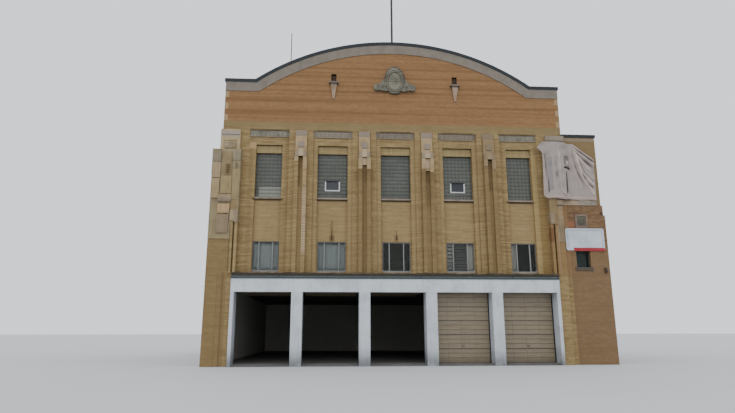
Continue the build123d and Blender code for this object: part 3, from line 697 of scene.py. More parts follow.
PIER_PATCHES = (
    Patch(-5.01, -4.82, 9.25, 10.2, (0.46, 0.31, 0.155), 0.6, 0.1),
    Patch(-5.26, -5.12, 9.2, 10.7, (0.1, 0.055, 0.02), 0.3, 0.08, 0.08),
    Patch(-1.84, -1.72, 4.6, 10.1, (0.13, 0.075, 0.028), 0.3, 0.08, 0.25),
    Patch(-2.21, -1.12, 9.5, 10.2, (0.16, 0.1, 0.04), 0.5, 0.3, 0.4),
    Patch(-1.84, -1.58, 4.6, 9.6, (0.2, 0.12, 0.05), 0.3, 0.1, 0.3),
    Patch(4.96, 5.24, 4.6, 9.6, (0.2, 0.12, 0.05), 0.25, 0.1, 0.3),
    Patch(1.5, 1.92, 8.2, 10.1, (0.14, 0.08, 0.03), 0.35, 0.25, 0.25),
    Patch(1.35, 2.1, 9.55, 10.05, (0.16, 0.1, 0.04), 0.45, 0.2, 0.3),
    Patch(5.03, 5.22, 9.1, 10.7, (0.085, 0.05, 0.02), 0.35, 0.06, 0.12),
)

CORNER_PATCHES = (
    Patch(-8.46, -8.33, 4.6, 7.1, (0.4, 0.29, 0.145), 0.45, 0.03),
    Patch(-8.7, -8.64, 4.6, 7.1, (0.09, 0.065, 0.03), 0.75, 0.03),
    Patch(-10.0, -8.7, 0.0, 6.4, (0.198, 0.128, 0.055), 0.6, 0.1, 0.15),
    # The next two thin dark lines are painted shade for rib edges beside the portal, which the model lacks
    # there.
    Patch(-9.17, -9.14, 0.0, 4.6, (0.12, 0.075, 0.035), 0.45, 0.02),
    Patch(-8.94, -8.84, 0.0, 4.6, (0.13, 0.085, 0.04), 0.6, 0.03),
    Patch(8.05, 9.05, 4.5, 8.7, (0.24, 0.145, 0.062), 0.65, 0.2, 0.2),
    Patch(8.22, 8.48, 6.3, 7.1, (0.15, 0.065, 0.028), 0.7, 0.15, 0.2),
    Patch(8.24, 8.5, 7.41, 7.85, (0.25, 0.175, 0.11), 0.7, 0.1, 0.05),
    Patch(8.64, 8.7, 4.5, 8.7, (0.42, 0.27, 0.18), 0.6, 0.03),
    END_WALL,
)

WING_PATCHES = (
    Patch(9.36, 11.3, 12.1, 12.27, (0.28, 0.22, 0.165), 0.8),
    Patch(9.15, 9.78, 7.16, 7.52, (0.36, 0.14, 0.07), 0.5, 0.15, 0.1),
    Patch(11.2, 11.42, 7.88, 8.06, (0.05, 0.04, 0.03), 0.8, 0.04),
    Patch(9.5, 11.3, 5.88, 6.05, (0.2, 0.03, 0.03), 0.4, 0.1),
)

CAPITAL_PATCHES = (
    Patch(-1.0, 0.33, 12.0, 12.36, (0.25, 0.205, 0.165)),
    Patch(-1.0, 0.15, 11.37, 11.68, (0.25, 0.215, 0.18)),
    Patch(-1.0, 0.12, 10.3, 11.34, (0.52, 0.42, 0.29), 0.5, 0.06),
    Patch(0.13, 0.33, 10.84, 11.12, (0.26, 0.21, 0.16), 0.8, 0.04),
    Patch(-1.0, 0.33, 11.12, 11.15, (0.12, 0.09, 0.05), 0.7, 0.02),
    Patch(-1.0, 0.33, 10.8, 10.84, (0.12, 0.09, 0.05), 0.7, 0.02),
)

TARP_PATCHES = (
    Patch(8.23, 8.57, 9.13, 11.04, (0.19, 0.175, 0.18), 0.55, 0.05, 0.03),
    # Painted shade in the hollow, a painted highlight on the knob in it, painted shade in the two slits,
    # and a painted shadow line down the left fold.
    Patch(9.3, 9.66, 10.58, 11.12, (0.12, 0.1, 0.1), 0.65, 0.06),
    Patch(9.43, 9.6, 10.62, 10.84, (0.55, 0.47, 0.43), 0.8, 0.08),
    Patch(9.28, 9.66, 10.4, 10.54, (0.03, 0.025, 0.02), 0.9, 0.06),
    Patch(9.35, 9.43, 9.14, 10.1, (0.06, 0.045, 0.04), 0.8, 0.06, 0.02),
    Patch(8.27, 8.33, 9.08, 9.65, (0.07, 0.06, 0.06), 0.7, 0.04),
    Patch(8.02, 11.1, 8.6, 8.84, (0.42, 0.31, 0.26), 0.55, 0.08),
    Patch(7.9, 8.13, 8.9, 11.0, (0.42, 0.31, 0.26), 0.45, 0.06),
)


@dataclass(frozen=True)
class BrickFinish:
    """Face brick in stretcher bond, with long level streaks, rain stains and raked joints, and painted
    shade on its undersides.
    """

    name: str
    tones: tuple[Tone, ...]
    mortar: Tone
    streak: Tone
    stain: Tone
    streak_share: float = 0.45
    stain_share: float = 0.35
    streak_run: float = 0.14
    streak_rows: float = 4.2
    course_share: float = 0.4
    length: float = 0.203
    course: float = 0.0675
    joint: float = 0.005
    plaster_tone: Tone = (0.52, 0.5, 0.44)
    patches: tuple[Patch, ...] = ()

    def lay_bricks(self, graph: Graph) -> Socket:
        """Lay the bricks.

        Args:
            graph: the material's graph.

        Returns:
            The mask of the joints.
        """
        sizes = {"Mortar Size": self.joint, "Brick Width": self.length, "Row Height": self.course}
        flat = graph.vector(graph.along, graph.z)
        shade, joints = graph.courses(flat, 0.5, 0.5, {**sizes, "Mortar Smooth": 0.2})
        graph.colour = graph.tones(shade, self.tones)
        graph.lay(self.tones[0], graph.ramp(graph.grain((30.0, 30.0, 60.0), 3.0), 0.45, 0.8), 0.35)
        graph.lay(self.mortar, joints)
        return joints

    def soil(self, graph: Graph) -> None:
        """Draw level streaks along the courses, and let rain stains run down the wall.

        Args:
            graph: the material's graph.
        """

        def clouds(run: float, rows: float, detail: float, height: Value = graph.z) -> Socket:
            """Give clouds with a number of them to the metre along and up the wall."""
            return graph.flat_cloud(graph.times(graph.along, run), graph.times(height, rows), 1.0, detail)

        level = clouds(self.streak_run, self.streak_rows, 1.5)
        graph.lay(self.streak, graph.ramp(level, 0.42, 0.66), self.streak_share)
        row = graph.math("FLOOR", graph.over(graph.z, self.course))
        each = clouds(0.8, 3.7, 2.0, row)
        graph.lay(self.stain, graph.ramp(each, 0.5, 0.7), self.course_share)
        graph.lay(dimmed(self.tones[-1], 1.25), graph.ramp(each, 0.5, 0.3), self.course_share)
        runs, broad = clouds(2.4, 0.1, 5.0), clouds(0.35, 0.3, 3.0)
        graph.lay(self.stain, graph.ramp(runs, 0.42, 0.75), graph.ramp(broad, 0.25, 0.7), self.stain_share)

    def mark(self, graph: Graph) -> None:
        """Add the marks of one place. A plain wall has none."""

    def plaster(self, graph: Graph) -> None:
        """Paint the faces that look into the building.

        Args:
            graph: the material's graph.
        """
        reach = WALL - 0.015
        wide = graph.between(graph.x, reach - HALF_WIDTH, HALF_WIDTH - reach, 0.01)
        graph.lay(self.plaster_tone, wide, graph.between(graph.y, reach, DEPTH - reach, 0.01))

    def make(self) -> Material:
        """Build the material.

        Returns:
            The material.
        """
        graph = Graph(self.name)
        joints = self.lay_bricks(graph)
        self.soil(graph)
        self.mark(graph)
        graph.patch(graph.x, self.patches)
        self.plaster(graph)
        # Painted shade on the faces that look down.
        graph.soot_and_shade()
        height = graph.minus(graph.times(graph.cloud(90.0, 3.0), 0.3), joints)
        return graph.finish(0.88, graph.bump(height, 0.006, 0.8), specular=0.25)


@dataclass(frozen=True)
class FacadeBrick(BrickFinish):
    """Buff brick of the facade: paler sunk panels, stains and painted shadow under the sills and along the
    frieze panels, an olive band on top.
    """

    panel_tone: Tone = (0.36, 0.26, 0.13)
    panel_depth: Span = (0.1, 0.16)
    panel_rise: Span = (6.3, 8.55)
    stain_and_shadow_tone: Tone = (0.075, 0.05, 0.025)
    drip_shadow_half: float = 0.82
    drip_shadow_rise: Span = (8.46, 8.57)
    frieze_half: float = 1.08
    frieze_head: Span = (12.36, 12.44)
    frieze_foot: Span = (11.93, 12.0)
    flank: Span = (0.86, 1.5)
    outer_flank: Span = (0.86, 1.06)
    band_tone: Tone = (0.235, 0.17, 0.08)
    band_rise: Span = (12.5, 12.9)

    def mark(self, graph: Graph) -> None:
        """Tone the sunk panels, the sides of the bays and the top, and darken under the sills and along the
        frieze panels with stain and painted shadow.

        Args:
            graph: the material's graph.
        """
        y, z, off_bay = graph.y, graph.z, graph.off_bay(graph.x)
        sunk = graph.between(y, *self.panel_depth, 0.02)
        graph.lay(self.panel_tone, sunk, graph.between(z, *self.panel_rise, 0.02), 0.4)
        # Stain and painted shadow in a band under each sill.
        below = graph.between(off_bay, -1.0, self.drip_shadow_half, 0.04)
        graph.lay(self.stain_and_shadow_tone, below, graph.between(z, *self.drip_shadow_rise, 0.04), 0.85)
        # Stain and painted shadow along the top and the foot of each frieze panel.
        foot = graph.times(graph.between(z, *self.frieze_foot, 0.02), 0.8)
        edges = graph.plus(graph.between(z, *self.frieze_head, 0.02), foot)
        graph.lay(self.stain_and_shadow_tone, graph.between(off_bay, -1.0, self.frieze_half, 0.03), edges, 0.95)
        inner = graph.ramp(graph.math("ABSOLUTE", graph.x), 5.1, 4.9)
        graph.lay(self.panel_tone, graph.between(off_bay, *self.flank, 0.06), inner, 0.4)
        outer = graph.minus(1.0, inner)
        graph.lay(self.stain, graph.between(off_bay, *self.outer_flank, 0.12), outer, 0.3)
        edge = graph.plus(z, graph.times(graph.flat_cloud(graph.x, z, 0.9, 4.0), 0.5))
        graph.lay(self.band_tone, graph.ramp(edge, *self.band_rise), 0.75)


@dataclass(frozen=True)
class PierBrick(BrickFinish):
    """Buff brick of the piers: brown runs in the grooves and, on one rib, pale salts on the joints."""

    groove_tone: Tone = (0.13, 0.075, 0.028)
    groove_half: float = 0.125
    floor_tone: Tone = (0.46, 0.335, 0.17)
    rib_tone: Tone = (0.17, 0.115, 0.05)
    rib_reach: Span = (0.135, 0.36)
    salt_tone: Tone = (0.56, 0.42, 0.29)
    salted_rib: float = -4.91
    salted_half: float = 0.11

    def mark(self, graph: Graph) -> None:
        """Stain the groove under the capital and whiten the salted rib.

        Args:
            graph: the material's graph.
        """
        x, z, off_pier = graph.x, graph.z, graph.off_pier()
        groove = graph.between(off_pier, -1.0, self.groove_half, 0.03)
        graph.lay(self.floor_tone, groove, 0.5)
        runs = graph.ramp(graph.flat_cloud(graph.times(x, 6.0), graph.times(z, 0.7), 1.0, 5.0), 0.2, 0.5)
        graph.lay(self.groove_tone, groove, runs, graph.ramp(z, 8.5, 10.4), 0.3)
        share = graph.plus(graph.times(graph.ramp(x, -3.5, -3.3), 0.35), 0.12)
        graph.lay(self.rib_tone, graph.between(off_pier, *self.rib_reach, 0.03), share)
        rib = graph.between(x, self.salted_rib - self.salted_half, self.salted_rib + self.salted_half, 0.03)
        height = graph.times(graph.ramp(z, 5.4, 5.9), graph.ramp(z, 9.4, 8.7))
        teeth = graph.between(graph.cycle(z, self.course * 2), 0.12, 0.72, 0.2)
        ragged = graph.plus(graph.times(teeth, 0.8), 0.2)
        patchy = graph.ramp(graph.flat_cloud(x, z, 3.1, 3.0), 0.25, 0.5)
        graph.lay(self.salt_tone, rib, height, ragged, patchy, 0.65)


@dataclass(frozen=True)
class WingBrick(BrickFinish):
    """Brick of the wing: orange brown below the stone band, olive above it, paler near the ground."""

    upper_tone: Tone = (0.235, 0.165, 0.078)
    lower_tone: Tone = (0.225, 0.145, 0.075)

    def mark(self, graph: Graph) -> None:
        """Turn the brick olive over the band and paler under the sign board."""
        graph.lay(self.upper_tone, graph.ramp(graph.z, 8.4, 8.6), 0.75)
        graph.lay(self.lower_tone, graph.ramp(graph.z, 6.4, 5.4), 0.6)

    def plaster(self, graph: Graph) -> None:
        """Leave the wing's inside in brick."""


@dataclass(frozen=True)
class StoneFinish:
    """Dressed stone with grain, soot and rain marks, and painted shade on its undersides."""

    name: str
    tones: tuple[Tone, ...]
    soot_and_shade: Tone = (0.1, 0.095, 0.085)
    soot_share: float = 0.35
    patches: tuple[Patch, ...] = ()

    def across(self, graph: Graph) -> Socket:
        """Give the X that the patches are measured in."""
        return graph.x

    def dull(self, graph: Graph) -> None:
        """Dull what has greyed more than the rest. Plain stone has nothing of the kind."""

    def lay_blocks(self, graph: Graph, height: Socket) -> Socket:
        """Lay the stone in blocks. Plain stone has no joints, and keeps its height."""
        return height

    def make(self) -> Material:
        """Build the material.

        Returns:
            The material.
        """
        graph = Graph(self.name)
        graph.clouded(0.3, 0.7, graph.cloud(2.4, 6.0), *self.tones)
        graph.patch(self.across(graph), self.patches)
        self.dull(graph)
        height = self.lay_blocks(graph, graph.cloud(45.0, 5.0))
        graph.lay(self.soot_and_shade, graph.ramp(graph.cloud(60.0, 2.0), 0.55, 0.75), 0.25)
        graph.lay(self.soot_and_shade, graph.ramp(graph.grain((6.0, 6.0, 0.7), 6.0), 0.5, 0.8), self.soot_share)
        # Painted shade on the faces that look down.
        graph.soot_and_shade()
        return graph.finish(0.85, graph.bump(height, 0.006, 0.6), specular=0.3)


@dataclass(frozen=True)
class ArchStone(StoneFinish):
    """Stone of the gable's band, in one row of blocks along the arch."""

    block_length: float = 0.92
    joint: float = 0.008
    row: float = 50.0

    def lay_blocks(self, graph: Graph, height: Socket) -> Socket:
        """Lay the blocks along the arch.

        Args:
            graph: the material's graph.
            height: the stone's own relief.

        Returns:
            The relief with the joints.
        """
        angle = graph.math("ARCTAN2", graph.x, graph.minus(graph.z, ARCH_CENTRE_Z))
        sizes = {"Mortar Size": self.joint, "Brick Width": self.block_length, "Row Height": self.row}
        flat = graph.vector(graph.times(angle, ARCH_RADIUS), 0.0)
        shade, joints = graph.courses(flat, 0.3, 0.0, {**sizes, "Mortar Smooth": 0.3})
        graph.lay(graph.tones(shade, self.tones), 0.35)
        graph.lay(self.soot_and_shade, joints, 0.6)
        return graph.minus(graph.times(height, 0.4), joints)


@dataclass(frozen=True)
class CapitalStone(StoneFinish):
    """Stone of the pier capitals, its patches measured from each pier's axis."""

    dull_tone: Tone = (0.2, 0.145, 0.075)

    def across(self, graph: Graph) -> Socket:
        """Give the distance from the nearest pier's axis."""
        return graph.off_pier()

    def dull(self, graph: Graph) -> None:
        """Grey the fourth capital, the dullest of the row."""
        graph.lay(self.dull_tone, graph.ramp(graph.x, 4.2, 4.3), 0.6)


@dataclass(frozen=True)
class PaintFinish:
    """Paint or render with a roller's texture and grimy streaks, painted shade above a height if one is
    given, and what else its sizes ask for.
    """

    name: str
    tone: Tone
    grime_and_shade: Tone = (0.22, 0.2, 0.16)
    grime_share: float = 0.3
    roughness: float = 0.5
    foot: float = 0.0
    panel: float = 0.0
    shade_above: float = 0.0

    def mark(self, graph: Graph) -> None:
        """Add the marks of one place. Plain paint has none."""

    def make(self) -> Material:
        """Build the material.

        Returns:
            The material.
        """
        graph = Graph(self.name)
        lighter = tuple(min(1.0, part) for part in dimmed(self.tone, 1.06))
        darker = dimmed(self.tone, 0.86)
        cloud = graph.clouded(0.3, 0.7, graph.cloud(1.3, 5.0), darker, self.tone, lighter)
        graph.lay(self.grime_and_shade, graph.ramp(graph.grain((5.0, 5.0, 0.5), 6.0), 0.5, 0.85), self.grime_share)
        height = graph.cloud(120.0, 2.0)
        if self.foot:
            graph.lay(self.grime_and_shade, graph.ramp(graph.z, self.foot, 0.0), graph.ramp(cloud, 0.25, 0.6), 0.8)
        if self.panel:
            gap = graph.between(graph.cycle(graph.plus(graph.x, 50.0), self.panel), 0.0, 0.006, 0.004)
            graph.lay(self.grime_and_shade, gap, 0.5)
            height = graph.minus(height, gap)
        # Painted shade above a height, in the second tone: the hopper frames' top bar.
        if self.shade_above:
            graph.lay(self.grime_and_shade, graph.ramp(graph.z, self.shade_above - 0.005, self.shade_above + 0.005))
        self.mark(graph)
        return graph.finish(self.roughness, graph.bump(height, 0.0015, 0.35), specular=0.4)


@dataclass(frozen=True)
class WindowPaint(PaintFinish):
    """Paint of the lower windows: white on the bars and the foot, dark on the outer frame, in its own
    colour and with painted shadow under the head.
    """

    frame_and_shadow_tone: Tone = (0.09, 0.08, 0.065)
    dull_tone: Tone = (0.17, 0.18, 0.17)
    wing_tone: Tone = (0.035, 0.04, 0.04)
    foot_z: float = 4.82
    head_z: float = 6.2
    bar_reach: float = 0.6
    edge: float = 0.02

    def mark(self, graph: Graph) -> None:
        """Darken the head and the sides of the outer frame, on all walls: the frame's own dark colour, with
        painted shadow under the head.

        Args:
            graph: the material's graph.
        """
        x, y, z = graph.x, graph.y, graph.z
        along = graph.plus(x, graph.times(graph.ramp(y, 0.45, 0.46), graph.minus(y, DEPTH / 2)))
        beside = graph.ramp(graph.off_bay(along), self.bar_reach, self.bar_reach + self.edge)
        side = graph.times(beside, graph.ramp(z, self.foot_z, self.foot_z + self.edge))
        bare = graph.math("MAXIMUM", side, graph.ramp(z, self.head_z, self.head_z + self.edge))
        left = graph.times(graph.ramp(x, -2.0, -2.1), 0.3)
        graph.lay(self.dull_tone, graph.plus(left, graph.times(graph.ramp(x, 4.1, 4.0), 0.3)))
        # The frame's dark colour on its head and sides, together with painted shadow under the head.
        graph.lay(self.frame_and_shadow_tone, bare, 0.85)
        graph.lay(self.wing_tone, graph.ramp(x, 9.4, 9.42))


@dataclass(frozen=True)
class SheetMetal:
    """Folded sheet metal, dulled and streaked by rain, with a dark coat above one height if given."""

    name: str
    tone: Tone
    bloom: Tone
    roughness: float = 0.45
    metallic: float = 0.35
    coat_z: float = 0.0
    coat_tone: Tone = (0.032, 0.027, 0.02)
    patches: tuple[Patch, ...] = ()

    def make(self) -> Material:
        """Build the material.

        Returns:
            The material.
        """
        graph = Graph(self.name)
        cloud = graph.clouded(0.4, 0.75, graph.cloud(1.8, 6.0), self.tone, self.bloom)
        graph.lay(self.bloom, graph.ramp(graph.grain((9.0, 9.0, 0.8), 5.0), 0.5, 0.8), 0.4)
        graph.patch(graph.x, self.patches)
        if self.coat_z:
            drift = graph.minus(graph.flat_cloud(graph.x, graph.y, 3.0, 4.0), 0.5)
            edge = graph.plus(graph.z, graph.times(drift, 0.06))
            graph.lay(self.coat_tone, graph.ramp(edge, self.coat_z - 0.02, self.coat_z + 0.02))
        rough = graph.plus(graph.times(cloud, 0.3), self.roughness - 0.15)
        return graph.finish(rough, graph.bump(graph.cloud(5.0, 2.0), 0.01, 0.25), metallic=self.metallic)


@dataclass(frozen=True)
class WoodFinish:
    """Varnished boards with grain along their length, dark joints between them and a dark foot."""

    name: str
    light: Tone
    dark: Tone
    base_z: float = 0.1
    panel_rise: float = 0.235

    def make(self) -> Material:
        """Build the material.

        Returns:
            The material.
        """
        graph = Graph(self.name)
        grain = graph.grain((1.4, 8.0, 38.0), 7.0, 0.65)
        graph.clouded(0.3, 0.7, grain, self.dark, self.light, self.light)
        rings = {"Vector": graph.place, "Scale": 9.0, "Distortion": 6.0, "Detail": 3.0, "Detail Scale": 0.6}
        look = {"wave_type": "BANDS", "bands_direction": "Z", "wave_profile": "SAW"}
        graph.lay(self.dark, graph.output("ShaderNodeTexWave", rings, "Fac", **look), 0.15)
        board = graph.cycle(graph.minus(graph.z, self.base_z), self.panel_rise)
        graph.lay(dimmed(self.dark, 0.35), graph.between(board, 0.0, 0.12, 0.05), 0.8)
        graph.lay(dimmed(self.dark, 0.4), graph.ramp(graph.z, 0.5, 0.1), 0.5)
        return graph.finish(graph.plus(graph.times(grain, 0.25), 0.3), graph.bump(grain, 0.002, 0.4))


@dataclass(frozen=True)
class GlassFinish:
    """Window glass: dark, glossy and partly clear, with a film of dust, and darker at the right."""

    name: str
    tone: Tone
    dust: Tone
    alpha: float
    roughness: float = 0.05

    def make(self) -> Material:
        """Build the material.

        Returns:
            The material.
        """
        graph = Graph(self.name)
        graph.colour = self.tone
        cloud = graph.cloud(1.1, 4.0)
        graph.lay(self.dust, graph.ramp(cloud, 0.35, 0.75), 0.6)
        graph.lay(dimmed(self.tone, 0.4), graph.ramp(graph.x, 5.0, 5.1), 0.7)
        rough = graph.plus(graph.times(cloud, 0.12), self.roughness)
        return graph.finish(rough, graph.bump(graph.cloud(1.6, 1.0), 0.004, 0.3), alpha=self.alpha)


@dataclass(frozen=True)
class GlassBlockFinish:
    """Pressed glass block: level ribs, a tone that varies by block, and a shadow low in each row."""

    name: str
    tone: Tone
    light: Tone
    rib: float = 0.016
    sill_z: float = 8.64
    row: float = 0.205
    column: float = 0.202
    row_shadow: float = 0.45

    def make(self) -> Material:
        """Build the material.

        Returns:
            The material.
        """
        graph = Graph(self.name)
        ribs = graph.zigzag(graph.z, self.rib)
        level = graph.over(graph.minus(graph.z, self.sill_z), self.row)
        column = graph.math("FLOOR", graph.over(graph.along, self.column))
        cell = {"Vector": graph.vector(column, graph.math("FLOOR", level))}
        each = graph.output("ShaderNodeTexWhiteNoise", cell, "Value", noise_dimensions="2D")
        wall = graph.times(graph.flat_cloud(graph.along, graph.z, 0.8, 3.0), 0.85)
        shade = graph.plus(graph.times(each, 0.15), wall)
        graph.clouded(0.2, 0.9, shade, dimmed(self.tone, 0.8), self.tone, self.light)
        graph.lay(dimmed(self.tone, 0.6), ribs, 0.12)
        lower = graph.ramp(graph.math("FRACT", level), 0.65, 0.25)
        graph.lay(dimmed(self.tone, 0.35), lower, self.row_shadow)
        graph.lay(dimmed(self.tone, 2.2), *self.bright_sides(graph))
        return graph.finish(0.35, graph.bump(ribs, 0.003, 0.15), specular=0.35)

    def bright_sides(self, graph: Graph) -> tuple[Socket, Socket]:
        """Find the upright sides of the blocks, which catch more light in the outer windows.

        Args:
            graph: the material's graph.

        Returns:
            A mask of the sides and the share of light on them.
        """
        half = graph.times(graph.ramp(graph.math("ABSOLUTE", graph.x), 5.1, 5.2), 0.5)
        off_bay = graph.over(graph.off_bay(graph.x), self.column)
        core = graph.between(graph.math("FRACT", graph.plus(off_bay, half)), 0.2, 0.8, 0.15)
        left = graph.times(graph.ramp(graph.x, -5.1, -5.2), 0.06)
        share = graph.plus(graph.times(graph.ramp(graph.x, 1.8, 1.9), 0.14), left)
        return graph.minus(1.0, core), graph.plus(share, 0.06)


@dataclass(frozen=True)
class FeltFinish:
    """Mineral roofing felt: grit, lap lines and pale weathering."""

    name: str
    tone: Tone
    pale: Tone
    lap: float = 0.95
    lap_tone: Tone = (0.02, 0.02, 0.02)

    def make(self) -> Material:
        """Build the material.

        Returns:
            The material.
        """
        graph = Graph(self.name)
        graph.clouded(0.35, 0.75, graph.cloud(0.7, 6.0), self.tone, self.pale)
        grit = graph.cloud(150.0, 2.0)
        graph.lay(self.pale, graph.ramp(grit, 0.5, 0.7), 0.4)
        lap = graph.cycle(graph.y, self.lap)
        graph.lay(self.lap_tone, graph.between(lap, 0.0, 0.02, 0.01), 0.7)
        height = graph.plus(graph.times(grit, 0.3), lap)
        return graph.finish(0.9, graph.bump(height, 0.004, 0.6), specular=0.2)


@dataclass(frozen=True)
class ConcreteFinish:
    """Trowelled concrete with oil marks and hairline cracks."""

    name: str
    tone: Tone
    stain: Tone

    def make(self) -> Material:
        """Build the material.

        Returns:
            The material.
        """
        graph = Graph(self.name)
        graph.clouded(0.3, 0.7, graph.cloud(0.9, 7.0), dimmed(self.tone, 0.75), self.tone)
        cells = {"Vector": graph.place, "Scale": 0.45}
        cracks = graph.output("ShaderNodeTexVoronoi", cells, "Distance", feature="DISTANCE_TO_EDGE")
        graph.lay(self.stain, graph.ramp(cracks, 0.006, 0.0), 0.6)
        graph.lay(self.stain, graph.ramp(graph.cloud(1.7, 3.0), 0.6, 0.75), 0.5)
        return graph.finish(0.8, graph.bump(graph.cloud(40.0, 4.0), 0.002, 0.4))


@dataclass(frozen=True)
class ClothFinish:
    """Coated sheeting with a fine weave, creases and dirty clouds, painted shade where its folds run deep
    and a painted highlight on their crests.
    """

    name: str
    tone: Tone
    dirt_and_fold_shade: Tone
    crest: Tone = (0.62, 0.52, 0.46)
    thread: float = 0.012
    folded: bool = False
    patches: tuple[Patch, ...] = ()

    def make(self) -> Material:
        """Build the material.

        Returns:
            The material.
        """
        graph = Graph(self.name)
        graph.colour = self.tone
        graph.lay(self.dirt_and_fold_shade, graph.ramp(graph.cloud(2.2, 6.0), 0.45, 0.8), 0.5)
        if self.folded:
            depth = graph.output("ShaderNodeAttribute", {}, "Fac", attribute_name="fold")
            # Painted highlight on the crests of the folds, and painted shade in their hollows.
            graph.lay(self.crest, graph.ramp(depth, 0.01, 0.06), 0.75)
            graph.lay(dimmed(self.dirt_and_fold_shade, 0.35), graph.ramp(depth, -0.002, -0.05))
        graph.patch(graph.x, self.patches)
        weave = graph.plus(graph.zigzag(graph.along, self.thread), graph.zigzag(graph.z, self.thread))
        normal = graph.bump(graph.cloud(7.0, 5.0), 0.02, 0.4, graph.bump(weave, 0.001, 0.3))
        return graph.finish(0.6, normal, specular=0.3)


class Finishes:
    """All finishes of the station, each built once."""

    def __init__(self) -> None:
        """Build every material."""
        self.brickwork()
        self.stonework()
        self.metalwork()
        self.openings()

    def brickwork(self) -> None:
        """Build the brick finishes."""
        buff = ((0.26, 0.175, 0.074), (0.3, 0.207, 0.092), (0.325, 0.232, 0.104), (0.35, 0.252, 0.12))
        orange = ((0.262, 0.138, 0.06), (0.28, 0.152, 0.066), (0.295, 0.163, 0.072), (0.31, 0.176, 0.08))
        soldiers = ((0.33, 0.25, 0.115), (0.385, 0.295, 0.14), (0.44, 0.34, 0.165))
        dark = ((0.15, 0.08, 0.04), (0.185, 0.103, 0.052), (0.215, 0.128, 0.064), (0.245, 0.158, 0.084))
        olive = (0.24, 0.17, 0.07)
        brown = (0.17, 0.105, 0.045)
        buff_wall = (buff, (0.27, 0.2, 0.11), olive, brown)
        self.facade = FacadeBrick(
            "facade_brick", *buff_wall, course_share=0.55, patches=FACADE_PATCHES
        ).make()
        self.pier = PierBrick("pier_brick", *buff_wall, course_share=0.5, patches=PIER_PATCHES).make()
        self.wall = BrickFinish("wall_brick", *buff_wall).make()
        soldier_wall = (soldiers, (0.28, 0.21, 0.12), olive, brown)
        upright = {"length": 0.0675, "course": 0.43}
        shares = {"streak_share": 0.1, "stain_share": 0.2, "course_share": 0.0}
        self.soldier = BrickFinish("soldier_brick", *soldier_wall, **shares, **upright).make()
        self.corner = BrickFinish("corner_brick", *buff_wall, patches=CORNER_PATCHES).make()
        self.gable = BrickFinish(
            "gable_brick",
            orange,
            (0.26, 0.155, 0.075),
            (0.19, 0.097, 0.041),
            (0.18, 0.1, 0.042),
            streak_share=0.75,
            stain_share=0.1,
            streak_run=0.04,
            streak_rows=5.6,
            course_share=0.15,
            patches=tuple(
                Patch(side * 9.3 - 0.14, side * 9.3 + 0.14, low, low + 0.34, (0.42, 0.3, 0.17), 0.75)
                for side in SIDES
                for low in (12.9, 13.58, 14.26, 14.94)
            ),
        ).make()
        dark_wall = (dark, (0.18, 0.115, 0.065), (0.14, 0.067, 0.03), (0.11, 0.062, 0.03))
        self.wing = WingBrick("wing_brick", *dark_wall, patches=WING_PATCHES).make()

    def stonework(self) -> None:
        """Build the stone finishes."""
        arch = ((0.215, 0.197, 0.17), (0.305, 0.28, 0.24), (0.37, 0.34, 0.29))
        capitals = ((0.32, 0.225, 0.12), (0.4, 0.28, 0.15), (0.43, 0.32, 0.185))
        heads = ((0.22, 0.175, 0.105), (0.285, 0.222, 0.135), (0.35, 0.275, 0.165))
        caps = ((0.36, 0.27, 0.16), (0.42, 0.31, 0.17), (0.44, 0.34, 0.2))
        panels = ((0.17, 0.155, 0.115), (0.235, 0.215, 0.165), (0.29, 0.265, 0.205))
        wing = ((0.22, 0.19, 0.145), (0.28, 0.24, 0.185), (0.32, 0.28, 0.22))
        plaque = ((0.16, 0.11, 0.085), (0.21, 0.145, 0.115), (0.25, 0.185, 0.14))
        sills = ((0.2, 0.155, 0.115), (0.26, 0.205, 0.155), (0.3, 0.25, 0.19))
        carved = ((0.115, 0.11, 0.08), (0.18, 0.168, 0.125), (0.24, 0.222, 0.168))
        dark_and_shade = ((0.07, 0.065, 0.05), (0.1, 0.095, 0.07), (0.13, 0.12, 0.09))
        pale = ((0.25, 0.165, 0.105), (0.32, 0.22, 0.15), (0.37, 0.27, 0.195))
        self.band = ArchStone("band_stone", arch, soot_and_shade=(0.15, 0.115, 0.085)).make()
        brown = (0.17, 0.12, 0.06)
        self.capital = CapitalStone("capital_stone", capitals, brown, patches=CAPITAL_PATCHES).make()
        stones = (*LEFT_HEAD_STONES[2:], *RIGHT_HEAD_STONES)
        softened = tuple(replace(stone, share=0.6, soft=stone.soft + 0.03) for stone in stones)
        self.head = StoneFinish("head_stone", heads, (0.1, 0.075, 0.045), 0.6, softened).make()
        right_cap = Patch(8.2, 9.5, 11.85, 12.35, (0.24, 0.205, 0.163))
        cap_stones = (*LEFT_HEAD_STONES[:2], right_cap)
        self.cap = StoneFinish("cap_stone", caps, (0.17, 0.13, 0.08), patches=cap_stones).make()
        middle = Patch(-4.6, 4.6, 11.9, 12.4, (0.235, 0.19, 0.145), 0.7)
        second = Patch(-4.6, -2.2, 11.9, 12.4, (0.31, 0.265, 0.21), 0.6)
        self.frieze = StoneFinish("frieze_stone", panels, patches=(middle, second)).make()
        left_end = Patch(9.1, 10.0, 8.3, 8.8, (0.4, 0.28, 0.18), 0.7, 0.1)
        self.wing_stone = StoneFinish("wing_stone", wing, patches=(left_end,)).make()
        field = Patch(9.86, 10.34, 7.24, 7.78, (0.1, 0.1, 0.065), 0.8)
        self.plaque = StoneFinish("plaque_stone", plaque, patches=(field,)).make()
        wing_sill = Patch(9.3, 10.9, 4.6, 5.1, (0.07, 0.06, 0.045), 0.9)
        self.sill = StoneFinish("sill_stone", sills, patches=(wing_sill,)).make()
        self.carved = StoneFinish("carved_stone", carved).make()
        # Dark stone for the plaque's wreath, also used as painted shade in the cartouche's grooves.
        self.groove = StoneFinish("dark_stone_and_groove_shade", dark_and_shade).make()
        shadow = Patch(-20.0, 20.0, 15.1, 15.32, (0.12, 0.105, 0.09), 0.75, 0.01)
        self.pale_stone = StoneFinish("pale_stone", pale, patches=(shadow,)).make()

